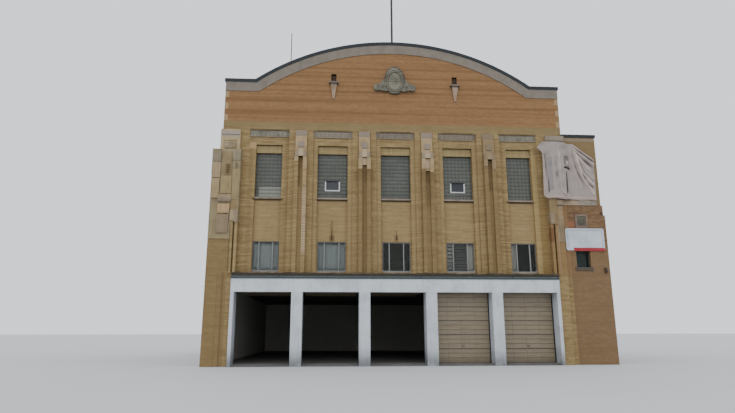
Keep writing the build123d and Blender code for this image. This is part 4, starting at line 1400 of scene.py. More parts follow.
    def metalwork(self) -> None:
        """Build the finishes of metal, roofing and concrete."""
        foot = Patch(-20.0, 20.0, 4.2, 4.37, (0.04, 0.055, 0.058), 0.85, 0.02)
        black = ((0.007, 0.011, 0.015), (0.018, 0.026, 0.032))
        self.coping = SheetMetal("coping_metal", *black, 0.7, 0.0).make()
        dull = ((0.065, 0.08, 0.078), (0.11, 0.122, 0.115))
        self.flashing = SheetMetal("flashing_metal", *dull, 0.5, coat_z=4.42, patches=(foot,)).make()
        self.bitumen = FeltFinish("sealing_bitumen", (0.055, 0.044, 0.03), (0.12, 0.09, 0.055), 5.0).make()
        self.steel = SheetMetal("dark_steel", (0.03, 0.033, 0.036), (0.07, 0.07, 0.07), 0.4, 0.7).make()
        self.louvre = SheetMetal("louvre_metal", (0.13, 0.09, 0.06), (0.17, 0.12, 0.08), 0.7, 0.0).make()
        self.iron = SheetMetal("rusty_iron", (0.05, 0.028, 0.015), (0.12, 0.05, 0.02), 0.7, 0.2).make()
        self.felt = FeltFinish("roof_felt", (0.07, 0.07, 0.068), (0.15, 0.15, 0.14)).make()
        self.concrete = ConcreteFinish("concrete", (0.15, 0.145, 0.135), (0.06, 0.057, 0.052)).make()
        self.joint = ConcreteFinish("block_joint", (0.15, 0.145, 0.125), (0.08, 0.08, 0.07)).make()

    def openings(self) -> None:
        """Build the finishes of windows, doors, boards and the sheet."""
        old_glass = ((0.092, 0.095, 0.079), (0.124, 0.129, 0.112))
        self.block = GlassBlockFinish("glass_block", *old_glass).make()
        new_glass = ((0.24, 0.24, 0.2), (0.33, 0.33, 0.28))
        self.clear_block = GlassBlockFinish("new_glass_block", *new_glass, row_shadow=0.5).make()
        self.pane = GlassFinish("window_pane", (0.022, 0.026, 0.017), (0.055, 0.058, 0.04), 0.32).make()
        self.dark_pane = GlassFinish("hopper_pane", (0.02, 0.022, 0.03), (0.04, 0.045, 0.05), 0.9).make()
        self.frame_paint = WindowPaint("frame_paint", (0.255, 0.255, 0.245), grime_share=0.35).make()
        # The second tone is the hopper paint's streaks and also the painted shade on its top bar.
        white = ((0.62, 0.62, 0.6), (0.05, 0.05, 0.05))
        self.hopper_paint = PaintFinish("hopper_paint", *white, 0.15, shade_above=9.575).make()
        cold_white = ((0.6, 0.63, 0.66), (0.32, 0.3, 0.24))
        self.fascia = PaintFinish("fascia_paint", *cold_white, 0.35, roughness=0.45, panel=BAY).make()
        splashed = ((0.56, 0.59, 0.62), (0.08, 0.08, 0.08))
        self.pillar = PaintFinish("pillar_paint", *splashed, 0.25, foot=1.1).make()
        self.sign = PaintFinish("sign_paint", (0.56, 0.6, 0.65), grime_share=0.2).make()
        self.red = PaintFinish("sign_red", (0.36, 0.02, 0.03), (0.14, 0.03, 0.03), 0.3).make()
        # The door tones are kept dark partly as painted shade of the deep openings the doors stand in.
        self.door = WoodFinish("door_wood", (0.25, 0.2, 0.13), (0.17, 0.13, 0.08)).make()
        self.curtain = ClothFinish("window_curtain", (0.6, 0.66, 0.65), (0.52, 0.58, 0.58)).make()
        self.pale_curtain = ClothFinish("pale_curtain", (0.9, 0.87, 0.76), (0.75, 0.72, 0.62)).make()
        self.teal_curtain = ClothFinish("teal_curtain", (0.02, 0.06, 0.06), (0.01, 0.03, 0.03)).make()
        self.blind = PaintFinish("blind_slat", (0.62, 0.62, 0.56), grime_share=0.2).make()
        self.dark_blind = PaintFinish("dark_blind_slat", (0.16, 0.165, 0.15), grime_share=0.2).make()
        self.sign_line = PaintFinish("sign_line", (0.3, 0.35, 0.37), grime_share=0.2).make()
        # The second tone is the sheet's stains, and darkened it is the painted shade in its folds.
        sheeting = ((0.345, 0.285, 0.26), (0.23, 0.185, 0.165))
        self.tarp = ClothFinish("tarp_cloth", *sheeting, folded=True, patches=TARP_PATCHES).make()


def dress(piece: Piece, material: Material) -> None:
    """Give a piece or a CAD node one finish."""
    piece.data.materials.clear()
    piece.data.materials.append(material)


def mount(piece: Piece, material: Material) -> None:
    """Finish a new piece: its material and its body.

    Args:
        piece: the new piece.
        material: its finish.
    """
    dress(piece, material)
    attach(piece, "root")
    LOG.info("built %s with %d faces", piece.name, len(piece.data.polygons))


# Sub-assemblies


@dataclass
class SubAssembly:
    """One group of pieces, with the station's finishes at hand."""

    finishes: Finishes


@dataclass
class FrameFinish(SubAssembly):
    """The finishes of the CAD nodes that keep their own mesh."""

    def build(self) -> None:
        """Dress every CAD node that stays."""
        use = self.finishes
        looks = (
            (use.facade, "front_wall"),
            (use.gable, "gable_wall"),
            (use.wall, "left_wall right_wall rear_wall"),
            (use.pier, "pier_1 pier_2 pier_3 pier_4"),
            (use.corner, "corner_piers"),
            (use.wing, "wing_front wing_side wing_rear"),
            (use.band, "gable_band"),
            (use.capital, "capitals"),
            (use.head, "corner_heads"),
            (use.cap, "corner_caps"),
            (use.frieze, "frieze_panels"),
            (use.pale_stone, "vent_brackets"),
            (use.carved, "medallion"),
            (use.sill, "window_sills"),
            (use.wing_stone, "wing_band"),
            (use.plaque, "wing_plaque"),
            (use.coping, "gable_coping side_copings rear_coping wing_coping"),
            (use.flashing, "flashing"),
            (use.fascia, "fascia"),
            (use.pillar, "door_pillars"),
            (use.door, "bay_doors"),
            (use.felt, "roof_vault"),
            (use.concrete, "ground_slab upper_floors wing_floors"),
            (use.steel, "mast roof_rod wing_lamp"),
            (use.frame_paint, "window_frames"),
            (use.hopper_paint, "hopper_frames"),
            (use.dark_pane, "hopper_panes"),
            (use.pane, "window_glass"),
            (use.sign, "sign_board"),
            (use.block, "block_windows"),
            (use.tarp, "tarp"),
        )
        finish_of = {name: material for material, names in looks for name in names.split()}
        for name, node in frame["nodes"].items():
            dress(node, finish_of[name])
        LOG.info("dressed %d CAD nodes", len(frame["nodes"]))


@dataclass
class GlassBlocks(SubAssembly):
    """Glass block windows: single blocks in a mortar grid, with a few newer, paler blocks."""

    sill_z: float = 8.64
    rows: int = 12
    module: float = 0.2
    rise: float = 0.205
    setback: float = 0.26
    thickness: float = 0.1
    joint: float = 0.01
    joint_depth: float = 0.008
    face_border: float = 0.012
    face_rise: float = 0.004
    hopper_half: float = 0.404
    hopper_low: float = 9.05
    hopper_high: float = 9.665
    margin: float = 0.01
    newer_columns: float = 2.5
    newer_rows: int = 3

    def one_block(self, pitch: float) -> Piece:
        """Model one block at the lower left corner of a window, its face pressed out a little.

        Args:
            pitch: the width of one block with its joint.

        Returns:
            The block.
        """
        gap = self.joint / 2
        piece = block(
            "pattern_block",
            (gap, self.setback + self.face_rise, self.sill_z + gap),
            (pitch - gap, self.setback + self.thickness, self.sill_z + self.rise - gap),
        )
        edit_faces(piece, lambda centre, normal: normal.y < -0.9)
        bpy.ops.mesh.inset(thickness=self.face_border, depth=0.0)
        bpy.ops.transform.translate(value=(0, -self.face_rise, 0))
        leave_edit()
        return bevelled(piece, 0.004)

    def cut_hopper(self, piece: Piece, centre_x: float) -> None:
        """Take out the blocks where a hopper window sits.

        Args:
            piece: the window's blocks.
            centre_x: the window's centre.
        """
        half = self.hopper_half - self.margin
        low, high = self.hopper_low + self.margin, self.hopper_high - self.margin
        edit_faces(piece, lambda centre, normal: abs(centre.x - centre_x) < half and low < centre.z < high)
        bpy.ops.mesh.select_linked()
        bpy.ops.mesh.delete(type="FACE")
        leave_edit()

    def window(self, centre_x: float, width: float, hopper: bool) -> list[Piece]:
        """Build one window's blocks.

        Args:
            centre_x: the window's centre along its wall.
            width: the window's width.
            hopper: whether a hopper window takes the place of some blocks.

        Returns:
            The blocks and the mortar sheets behind their joints.
        """
        count = round(width / self.module)
        pitch = width / count
        x0, x1 = centre_x - width / 2, centre_x + width / 2
        depth = (self.setback + self.joint_depth, self.setback + self.thickness - 0.004)
        z0, z1 = self.sill_z, self.sill_z + self.rows * self.rise
        blocks = self.one_block(pitch)
        repeated(blocks, count, (pitch, 0, 0))
        repeated(blocks, self.rows, (0, 0, self.rise))
        blocks.data.transform(shift(x0))
        spans = [(x0, x1, z0, z1)]
        if hopper:
            self.cut_hopper(blocks, centre_x)
            h0, h1 = centre_x - self.hopper_half, centre_x + self.hopper_half
            low, high = self.hopper_low, self.hopper_high
            spans = [(x0, x1, z0, low), (x0, x1, high, z1), (x0, h0, low, high), (h1, x1, low, high)]
        return [blocks, *plates("mortar", spans, depth)]

    def build(self) -> None:
        """Build the glazing of all four walls."""
        sheets: list[Piece] = []
        for wall, centres in ROW_CENTRES.items():
            front = wall is Wall.FRONT
            panels = []
            for centre in centres:
                hopper = front and abs(abs(centre) - BAY) < 0.1
                blocks, *mortar = self.window(centre, upper_width(wall, centre), hopper)
                for piece in (blocks, *mortar):
                    piece.data.transform(wall.matrix())
                panels.append(blocks)
                sheets.extend(mortar)
            glazing = joined(f"glass_blocks_{wall.value}", panels)
            if front:
                self.split_newer(glazing)
            mount(glazing, self.finishes.block)
            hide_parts("block_windows")
        mount(joined("block_mortar", sheets), self.finishes.joint)

    def split_newer(self, glazing: Piece) -> None:
        """Part off the newer blocks low in the first window, which have a paler glass.

        Args:
            glazing: the front windows' blocks.
        """
        pitch = OUTER_WINDOW / round(OUTER_WINDOW / self.module)
        low_x, high_x = BAYS[0] - self.newer_columns * pitch, BAYS[0] + OUTER_WINDOW / 2
        high_z = self.sill_z + self.newer_rows * self.rise
        edit_faces(glazing, lambda centre, normal: low_x < centre.x < high_x and centre.z < high_z)
        bpy.ops.mesh.separate(type="SELECTED")
        leave_edit()
        apart = next(piece for piece in bpy.context.selected_objects if piece is not glazing)
        mount(named(apart, "newer_glass_blocks"), self.finishes.clear_block)


@dataclass
class SoldierLintels(SubAssembly):
    """Bricks set on end over every upper window."""

    base_z: float = 11.1
    height: float = 0.215
    width: float = 0.0576
    pitch: float = 0.0675
    depth: float = 0.03
    front_face: float = 0.14
    proud: float = 0.008
    joint: float = 0.005

    def build(self) -> None:
        """Lay two rows of soldiers over each window."""
        rows = []
        for wall, centres in ROW_CENTRES.items():
            face = self.front_face if wall is Wall.FRONT else 0.0
            for centre in centres:
                count = int(upper_width(wall, centre) / self.pitch)
                start = centre - count * self.pitch / 2 + (self.pitch - self.width) / 2
                low = (start, face - self.proud, self.base_z + self.joint)
                high = (start + self.width, face + self.depth, self.base_z + self.height - self.joint)
                brick = block("pattern_soldier", low, high, 0.004)
                repeated(brick, count, (self.pitch, 0, 0))
                repeated(brick, 2, (0, 0, self.height))
                brick.data.transform(wall.matrix())
                rows.append(brick)
        mount(joined("soldier_lintels", rows), self.finishes.soldier)


@dataclass
class HeadStones(SubAssembly):
    """Stones that stand proud of the left corner head, and the scroll and leaf carved on it."""

    face: float = -0.34
    joint: float = 0.003
    cap_foot_z: float = 11.2
    motif: tuple[float, float] = (-8.94, 10.05)
    leaf_pitch: float = 0.13
    leaf: Point = (0.045, 0.03, 0.06)
    coil: tuple[float, float] = (-8.47, 10.27)

    def build(self) -> None:
        """Set the stones and carve them."""
        cap_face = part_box("corner_caps")[0].y
        stones = []
        for stone in LEFT_HEAD_STONES:
            if not stone.proud:
                continue
            face = cap_face if stone.z0 > self.cap_foot_z else self.face
            low = (stone.x0 + self.joint, face - stone.proud * 0.6, stone.z0 + self.joint)
            piece = block("stone", low, (stone.x1 - self.joint, face + 0.01, stone.z1 - self.joint))
            stones.append(bevelled(piece, 0.015, 2))
        x, z = self.coil
        stones.append(ring("coil", (x, self.face - 0.05, z), 0.1, 0.028))
        stones.append(dome("eye", (x, self.face - 0.05, z), (0.04, 0.04, 0.04), 12))
        x, z = self.motif
        for row in (-2, -1, 0, 1, 2):
            for side in SIDES:
                centre = (x + side * 0.05, self.face, z + self.leaf_pitch * row)
                stones.append(dome("leaf", centre, self.leaf, 10))
        mount(joined("head_stones", stones), self.finishes.head)


@dataclass
class FriezeCarving(SubAssembly):
    """Carved scrolls along the five frieze panels, and a raised edge over and under them."""

    half: float = 1.06
    base_z: float = 12.005
    height: float = 0.36
    face: float = 0.045
    motifs: int = 9
    edge: float = 0.03

    def motif(self, pitch: float) -> Piece:
        """Model one scroll at the panel's left end, with a flower in it and four leaves round it.

        Args:
            pitch: the length of panel that one motif fills.

        Returns:
            The motif.
        """
        mid_z = self.base_z + self.height / 2
        x = -self.half + self.edge + pitch / 2
        flower = dome("pattern_flower", (x, self.face, mid_z), (0.035, 0.022, 0.035), 12)
        coil = ring("pattern_coil", (x, self.face - 0.002, mid_z), 0.078, 0.018, 18)
        parts = [flower, coil]
        for side in SIDES:
            for lift in SIDES:
                centre = (x + side * pitch * 0.4, self.face, mid_z + lift * 0.085)
                parts.append(dome("pattern_leaf", centre, (0.026, 0.016, 0.052), 10))
        return joined("pattern_motif", parts)

    def build(self) -> None:
        """Carve the five panels."""
        pitch = (2 * self.half - 2 * self.edge) / self.motifs
        row = self.motif(pitch)
        repeated(row, self.motifs, (pitch, 0, 0))
        feet = (self.base_z + self.height - self.edge, self.base_z)
        spans = [(-self.half, self.half, foot, foot + self.edge) for foot in feet]
        edges = plates("edge", spans, (self.face - 0.02, self.face + 0.01), 0.006)
        panel = joined("pattern_panel", [row, *edges])
        panels = copies(panel, [shift(x) for x in BAYS])
        mount(joined("frieze_carving", panels), self.finishes.frieze)


@dataclass
class Cartouche(SubAssembly):
    """The gable's carved cartouche: a rope border, a bare field with a rosette, and side scrolls."""

    centre_z: float = 15.4
    dome_z: float = 15.47
    scroll_x: float = 0.95
    scroll_z: float = 15.02
    face: float = -0.12
    petals: int = 8
    beads: int = 34
    rope_radii: Span = (0.49, 0.69)
    gadroon_radii: Span = (0.53, 0.76)

    def rosette(self) -> list[Piece]:
        """Model eight petals round a button on the bare field.

        Returns:
            The petals and the button.
        """
        middle = (0, self.face - 0.03, self.centre_z)
        petal = dome("petal", (0, 0, 0.17), (0.06, 0.03, 0.13), 12)
        turns = [Matrix.Rotation(angle, 4, "Y") for angle in round_turn(self.petals)]
        petals = copies(petal, [shift(*middle) @ turn for turn in turns])
        return [*petals, dome("button", middle, (0.07, 0.05, 0.07), 16)]

    def rope(self) -> list[Piece]:
        """Run a row of beads round the oval."""
        middle, angles = (0, self.face, self.centre_z), round_turn(self.beads)
        return [dome("bead", on_oval(middle, self.rope_radii, a), (0.045, 0.035, 0.06), 10) for a in angles]

    def scrolls(self) -> list[Piece]:
        """Model the scroll and the leaves at each side, and the ridges over the oval.

        Returns:
            Their pieces.
        """
        parts = []
        for side in SIDES:
            x, z = side * self.scroll_x, self.scroll_z
            parts.append(ring("scroll", (x, self.face, z), 0.145, 0.045))
            parts.append(ring("scroll", (x + side * 0.01, self.face - 0.01, z), 0.07, 0.035))
            parts.append(dome("eye", (x, self.face, z), (0.04, 0.06, 0.04), 12))
            for step in range(4):
                x = side * (0.8 - 0.09 * step)
                parts.append(dome("leaf", (x, self.face, 15.1 + 0.03 * step), (0.05, 0.045, 0.15), 10))
                parts.append(dome("leaf", (x, self.face, 14.88 - 0.02 * step), (0.05, 0.04, 0.07), 10))
            for step in range(3):
                x, z = side * (0.58 + 0.06 * step), 15.48 - 0.1 * step
                parts.append(dome("leaf", (x, -0.01, z), (0.08, 0.06, 0.14), 12))
            for step in range(5):
                angle = side * math.radians(25 + 17 * step)
                centre = on_oval((0, self.face, self.dome_z), self.gadroon_radii, angle)
                parts.append(dome("gadroon", centre, (0.045, 0.03, 0.05), 10))
        return parts

    def grooves(self) -> list[Piece]:
        """Model the dark ovals inside and outside the rope, dark pieces that paint the shade in its
        grooves.

        Returns:
            The two ovals.
        """
        parts = []
        inner = (0.375, 1.46, self.face - 0.05, self.centre_z)
        outer = (0.56, 1.43, self.face, self.dome_z)
        for radius, rise, depth, middle_z in (inner, outer):
            groove = ring("groove", (0, 0, 0), radius, 0.022, 40)
            groove.data.transform(shift(0, depth, middle_z) @ Matrix.Diagonal((1, 1, rise, 1)))
            parts.append(groove)
        return parts

    def build(self) -> None:
        """Carve the cartouche."""
        parts = [*self.rosette(), *self.rope(), *self.scrolls()]
        mount(joined("cartouche_carving", parts), self.finishes.carved)
        # The dark ovals are painted shade in the cartouche's grooves.
        mount(joined("cartouche_grooves", self.grooves()), self.finishes.groove)


@dataclass
class VentGrilles(SubAssembly):
    """Louvres in the gable's two vents."""

    vent_x: float = 3.42
    base_z: float = 15.29
    width: float = 0.29
    depth: Span = (0.1, 0.19)
    slats: int = 5
    pitch: float = 0.095
    tilt: float = 35.0

    def build(self) -> None:
        """Fit the slats in each vent."""
        slats = []
        low_y, high_y = self.depth
        for x in (-self.vent_x, self.vent_x):
            low = (x - self.width / 2, low_y, self.base_z + 0.02)
            slat = block("slat", low, (x + self.width / 2, high_y, self.base_z + 0.035), 0.004)
            edit_all(slat)
            pivot = (x, (low_y + high_y) / 2, self.base_z + 0.03)
            bpy.ops.transform.rotate(value=math.radians(self.tilt), orient_axis="X", center_override=pivot)
            leave_edit()
            slats.append(repeated(slat, self.slats, (0, 0, self.pitch)))
        mount(joined("vent_louvres", slats), self.finishes.louvre)


@dataclass
class CopingSeams(SubAssembly):
    """Standing seams across the metal copings."""

    spacing: float = 1.22
    width: float = 0.03
    sunk: float = 0.002
    shoulder_x: float = 8.5

    def build(self) -> None:
        """Fold seams over the gable's coping at even steps, and one over each shoulder's."""
        seam = block("pattern_seam", (-self.width / 2, -0.058, -0.145), (self.width / 2, 0.455, 0.0), 0.006)
        step = self.spacing / ARCH_RADIUS
        count = int(math.asin(ARCH_HALF / ARCH_RADIUS) / step)
        up = shift(z=ARCH_RADIUS - self.sunk)
        turns = [Matrix.Rotation(step * index, 4, "Y") for index in range(-count, count + 1)]
        moves = [shift(z=ARCH_CENTRE_Z) @ turn @ up for turn in turns]
        moves += [shift(side * self.shoulder_x, 0, SHOULDER_Z - self.sunk) for side in SIDES]
        mount(joined("coping_seams", copies(seam, moves)), self.finishes.coping)


@dataclass
class Portal(SubAssembly):
    """The white portal's trim: the wavy sealing over the flashing and the metal's lap joints."""

    top_z: float = 4.56
    front: float = -0.49
    slices: int = 220
    lap_rise: Span = (4.295, 4.49)
    lap_spacing: float = 2.4
    laps: int = 7

    def wave(self, place: Vector) -> None:
        """Move one point of the sealing: it swells over each pier's foot and ripples all along.

        Args:
            place: the point, which is changed.
        """
        if place.z > self.top_z:
            off_bay = abs((place.x % BAY) - BAY / 2)
            swell = 0.036 * math.exp(-((off_bay - 0.35) ** 2) / 0.05)
            ripple = 0.01 * math.sin(place.x * 5.3) + 0.008 * math.sin(place.x * 13.1 + 1.0)
            place.z += swell + ripple
        place.y += 0.012 * math.sin(place.x * 7.7 + place.z * 9.0)

    def sealing(self) -> Piece:
        """Lay the bitumen sheet that turns up over the flashing with a wavy edge.

        Returns:
            The sheet.
        """
        reach = PORTAL_HALF - 0.01
        low = (-reach, self.front + 0.06, self.top_z - 0.05)
        strip = block("flashing_sealing", low, (reach, self.front + 0.1, self.top_z + 0.03))
        edit_all(strip)
        for index in range(1, self.slices):
            x = -PORTAL_HALF + 2 * PORTAL_HALF * index / self.slices
            bpy.ops.mesh.select_all(action="SELECT")
            bpy.ops.mesh.bisect(plane_co=(x, 0, 0), plane_no=(1, 0, 0))
        leave_edit()
        for vertex in strip.data.vertices:
            self.wave(vertex.co)
        return smoothed(strip, 50)

    def build(self) -> None:
        """Lay the sealing, and fold a lap over the flashing at every sheet's end."""
        mount(self.sealing(), self.finishes.bitumen)
        low_z, high_z = self.lap_rise
        lap = block("pattern_lap", (-0.02, self.front, low_z), (0.02, self.front + 0.03, high_z), 0.004)
        spots = [-PORTAL_HALF + self.lap_spacing * (index + 1) for index in range(self.laps)]
        laps = joined("flashing_laps", copies(lap, [shift(x) for x in spots]))
        mount(laps, self.finishes.flashing)


@dataclass
class WindowDressing(SubAssembly):
    """What hangs behind the lower windows: curtains, blinds and pale panels, light by light."""

    sill_z: float = 4.72
    height: float = 1.56
    depth: float = 0.258
    half: float = 0.72
    third: float = 0.38
    bar: float = 0.03
    pleat: float = 0.004
    slat_pitch: float = 0.036
    wing_light: Span = (9.7, 10.42)

    def curtain(self, x0: float, x1: float, folds: int) -> Piece:
        """Hang one pleated curtain.

        Args:
            x0: its left edge.
            x1: its right edge.
            folds: the number of pleats.

        Returns:
            The curtain.
        """
        clear_selection()
        width = x1 - x0
        bpy.ops.mesh.primitive_grid_add(x_subdivisions=folds * 8, y_subdivisions=6, size=1)
        piece = bpy.context.active_object
        piece.scale = (width, self.height - 0.1, 1)
        piece.rotation_euler = (math.pi / 2, 0, 0)
        piece.location = ((x0 + x1) / 2, self.depth + 0.03, self.sill_z + self.height / 2)
        settle(piece, "curtain")
        for vertex in piece.data.vertices:
            share = (vertex.co.x - x0) / width
            vertex.co.y += self.pleat * math.sin(share * folds * math.tau)
        with_modifier(piece, "SOLIDIFY", thickness=0.003)
        bpy.ops.object.shade_smooth()
        return piece

    def blind(self, x0: float, x1: float, drop: float, pitch: float) -> Piece:
        """Hang one slatted blind from the window's head.

        Args:
            x0: its left edge.
            x1: its right edge.
            drop: how far it is let down.
            pitch: the distance from slat to slat.

        Returns:
            The blind.
        """
        top_z = self.sill_z + self.height - 0.06
        low = (x0, self.depth, top_z - pitch * 0.75)
        slat = block("slat", low, (x1, self.depth + 0.004, top_z), 0.0015)
        repeated(slat, int(drop / pitch), (0, 0, -pitch))
        low = (x0, self.depth - 0.01, top_z)
        rail = block("rail", low, (x1, self.depth + 0.03, top_z + 0.035), 0.004)
        return joined("blind", [slat, rail])

    def build(self) -> None:
        """Dress the front windows and the wing's one by one, and hang blinds at the sides and rear."""
        use, half, third, bar = self.finishes, self.half, self.third, self.bar
        first, second, fourth, fifth = (BAYS[index] for index in (0, 1, 3, 4))
        curtains = [self.curtain(x - half, x + half, folds) for x, folds in ((first, 7), (second, 6))]
        pale = [
            self.curtain(fourth + third - bar, fourth + half, 2),
            self.curtain(fifth - 0.66, fifth - third + bar, 2),
        ]
        mount(joined("pale_curtains", pale), use.pale_curtain)
        wing_curtain = named(self.curtain(*self.wing_light, 5), "wing_curtain")
        wing_curtain.data.transform(shift(0, 0.04, 2.42) @ Matrix.Diagonal((1, 1, 0.55, 1)))
        blinds = [self.blind(fourth - half, fourth - third - 0.02, 1.45, 0.2)]
        dark = named(self.blind(fourth - third + bar, fourth + third - bar, 1.45, 0.145), "dark_blind")
        moves = [
            wall.matrix() @ shift(centre)
            for wall in (Wall.LEFT, Wall.RIGHT, Wall.REAR)
            for centre in ROW_CENTRES[wall][::2]
        ]
        blinds += copies(self.blind(-half, half, 0.9, self.slat_pitch), moves)
        mount(joined("window_curtains", curtains), use.curtain)
        mount(joined("window_blinds", blinds), use.blind)
        mount(dark, use.dark_blind)
        mount(wing_curtain, use.teal_curtain)


@dataclass
class DoorHardware(SubAssembly):
    """Fittings of the doors: seams, handles and guides of the closed ones, rails of the raised ones."""

    face: float = 0.3
    base_z: float = 0.1
    top_z: float = 3.63
    half: float = 1.43
    sections: int = 5
    grip_z: float = 0.95
    grip_half: float = 0.09
    grip_reach: float = 0.045
    rail_x: float = 1.405
    rail_rise: Span = (3.74, 3.79)
    hanger_top_z: float = 3.96

    def closed_door(self, x: float) -> list[Piece]:
        """Fit seams, side guides and a handle to one closed door.

        Args:
            x: the door's middle.

        Returns:
            The fittings.
        """
        parts = []
        rise = (self.top_z - self.base_z) / self.sections
        for row in range(1, self.sections):
            z = self.base_z + rise * row
            low = (x - self.half, self.face - 0.008, z - 0.012)
            parts.append(block("seam", low, (x + self.half, self.face + 0.002, z + 0.012), 0.003))
        for side in SIDES:
            edge = x + side * self.half
            left, right = sorted((edge, edge - side * 0.05))
            low = (left, self.face - 0.05, self.base_z)
            parts.append(block("guide", low, (right, self.face, self.top_z), 0.004))
        front = self.face - self.grip_reach
        ends = [(x + side * self.grip_half, front, self.grip_z) for side in SIDES]
        parts.append(rod("grip", *ends, 0.012))
        for side in SIDES:
            post_x = x + side * (self.grip_half - 0.01)
            parts.append(rod("post", (post_x, front, self.grip_z), (post_x, self.face, self.grip_z), 0.009))
        return parts

    def raised_door(self, x: float) -> list[Piece]:
        """Hang the rails of one raised door.

        Args:
            x: the door's middle.

        Returns:
            The rails and their hangers.
        """
        parts = []
        low_z, high_z = self.rail_rise
        for side in SIDES:
            mid = x + side * self.rail_x
            parts.append(block("rail", (mid - 0.025, 0.4, low_z), (mid + 0.025, 3.8, high_z), 0.004))
            for y in (0.9, 2.2, 3.5):
                parts.append(rod("hanger", (mid, y, high_z), (mid, y, self.hanger_top_z), 0.012))
        return parts

    def build(self) -> None:
        """Fit the hardware to all five doors."""
        closed = [part for x in BAYS[3:] for part in self.closed_door(x)]
        raised = [part for x in BAYS[:3] for part in self.raised_door(x)]
        mount(joined("door_hardware", [*closed, *raised]), self.finishes.steel)


@dataclass
class WingFront(SubAssembly):
    """The wing's fittings: the bare sign board's frame and red strip, the plaque's wreath, the lamp."""

    board_x: Span = (9.15, 11.29)
    board_z: Span = (5.91, 7.11)
    board_face: float = -0.03
    frame_width: float = 0.05
    line_inset: float = 0.11
    line_width: float = 0.025
    plaque_x: float = 10.1
    plaque_z: float = 7.51
    leaves: int = 14
    lamp: tuple[float, float] = (11.2, 4.82)
    lamp_y: float = -0.075

    def board(self) -> None:
        """Frame the bare board, hang the red strip along its foot and draw its border."""
        use, face, width = self.finishes, self.board_face, self.frame_width
        (x0, x1), (z0, z1) = self.board_x, self.board_z
        spans = (
            (x0, x1, z1 - width, z1),
            (x0, x1, z0, z0 + width),
            (x0, x0 + width, z0, z1),
            (x1 - width, x1, z0, z1),
        )
        rails = plates("rail", spans, (face - 0.02, face), 0.004)
        mount(joined("sign_frame", rails), use.sign)
        low = (x0 + 0.41, face - 0.028, z0 - 0.03)
        strip = block("sign_strip", low, (x1 - 0.02, face - 0.002, z0 + 0.14), 0.003)
        mount(strip, use.red)
        x0, x1, z0, z1 = x0 + self.line_inset, x1 - self.line_inset, z0 + 0.2, z1 - self.line_inset
        width = self.line_width
        spans = ((x0, x1, z1 - 0.03, z1), (x0, x0 + width, z0, z1), (x1 - width, x1, z0, z1))
        lines = plates("line", spans, (face - 0.004, face), 0.001)
        mount(joined("sign_lines", lines), use.sign_line)

    def lantern(self) -> None:
        """Hang a small lantern body round the lamp."""
        (x, z), y = self.lamp, self.lamp_y
        body = rod("body", (x, y, z - 0.13), (x, y, z + 0.1), 0.06, 8)
        roof = rod("roof", (x, y, z + 0.1), (x, y, z + 0.14), 0.075, 8)
        back = block("back", (x - 0.04, -0.02, z - 0.1), (x + 0.04, 0.0, z + 0.16), 0.004)
        mount(joined("wing_lantern", [body, roof, back]), self.finishes.iron)

    def wreath(self) -> None:
        """Carve a plain leaf wreath in the plaque."""
        middle = (self.plaque_x, self.board_face, self.plaque_z)
        places = [on_oval(middle, (0.15, 0.17), angle) for angle in round_turn(self.leaves)]
        leaves = [dome("leaf", place, (0.04, 0.022, 0.05), 10) for place in places]
        boss = dome("boss", middle, (0.07, 0.028, 0.085), 14)
        mount(joined("plaque_wreath", [*leaves, boss]), self.finishes.groove)

    def build(self) -> None:
        """Build the wing's fittings."""
        self.board()
        self.wreath()
        self.lantern()


def held(value: float) -> float:
    """Hold a value between 0 and 1."""
    return min(1.0, max(0.0, value))


@dataclass(frozen=True)
class Fold:
    """One fold of the sheet: a line between two places, given as X and Z, and how far it stands out."""

    start: tuple[float, float]
    end: tuple[float, float]
    width: float
    lift: float

    def at(self, x: float, z: float) -> float:
        """Give the fold's part in the sheet's relief at one place.

        Args:
            x: the place's X.
            z: the place's height.

        Returns:
            How far the fold moves the sheet there.
        """
        run_x, run_z = self.end[0] - self.start[0], self.end[1] - self.start[1]
        length = math.hypot(run_x, run_z)
        off_x, off_z = x - self.start[0], z - self.start[1]
        along = (off_x * run_x + off_z * run_z) / length**2
        across = abs(off_x * run_z - off_z * run_x) / length
        ends = held((along + 0.12) / 0.24) * held((1.12 - along) / 0.24)
        width = self.width * (0.6 + 0.4 * held(along))
        return self.lift * ends * math.exp(-((across / width) ** 2))


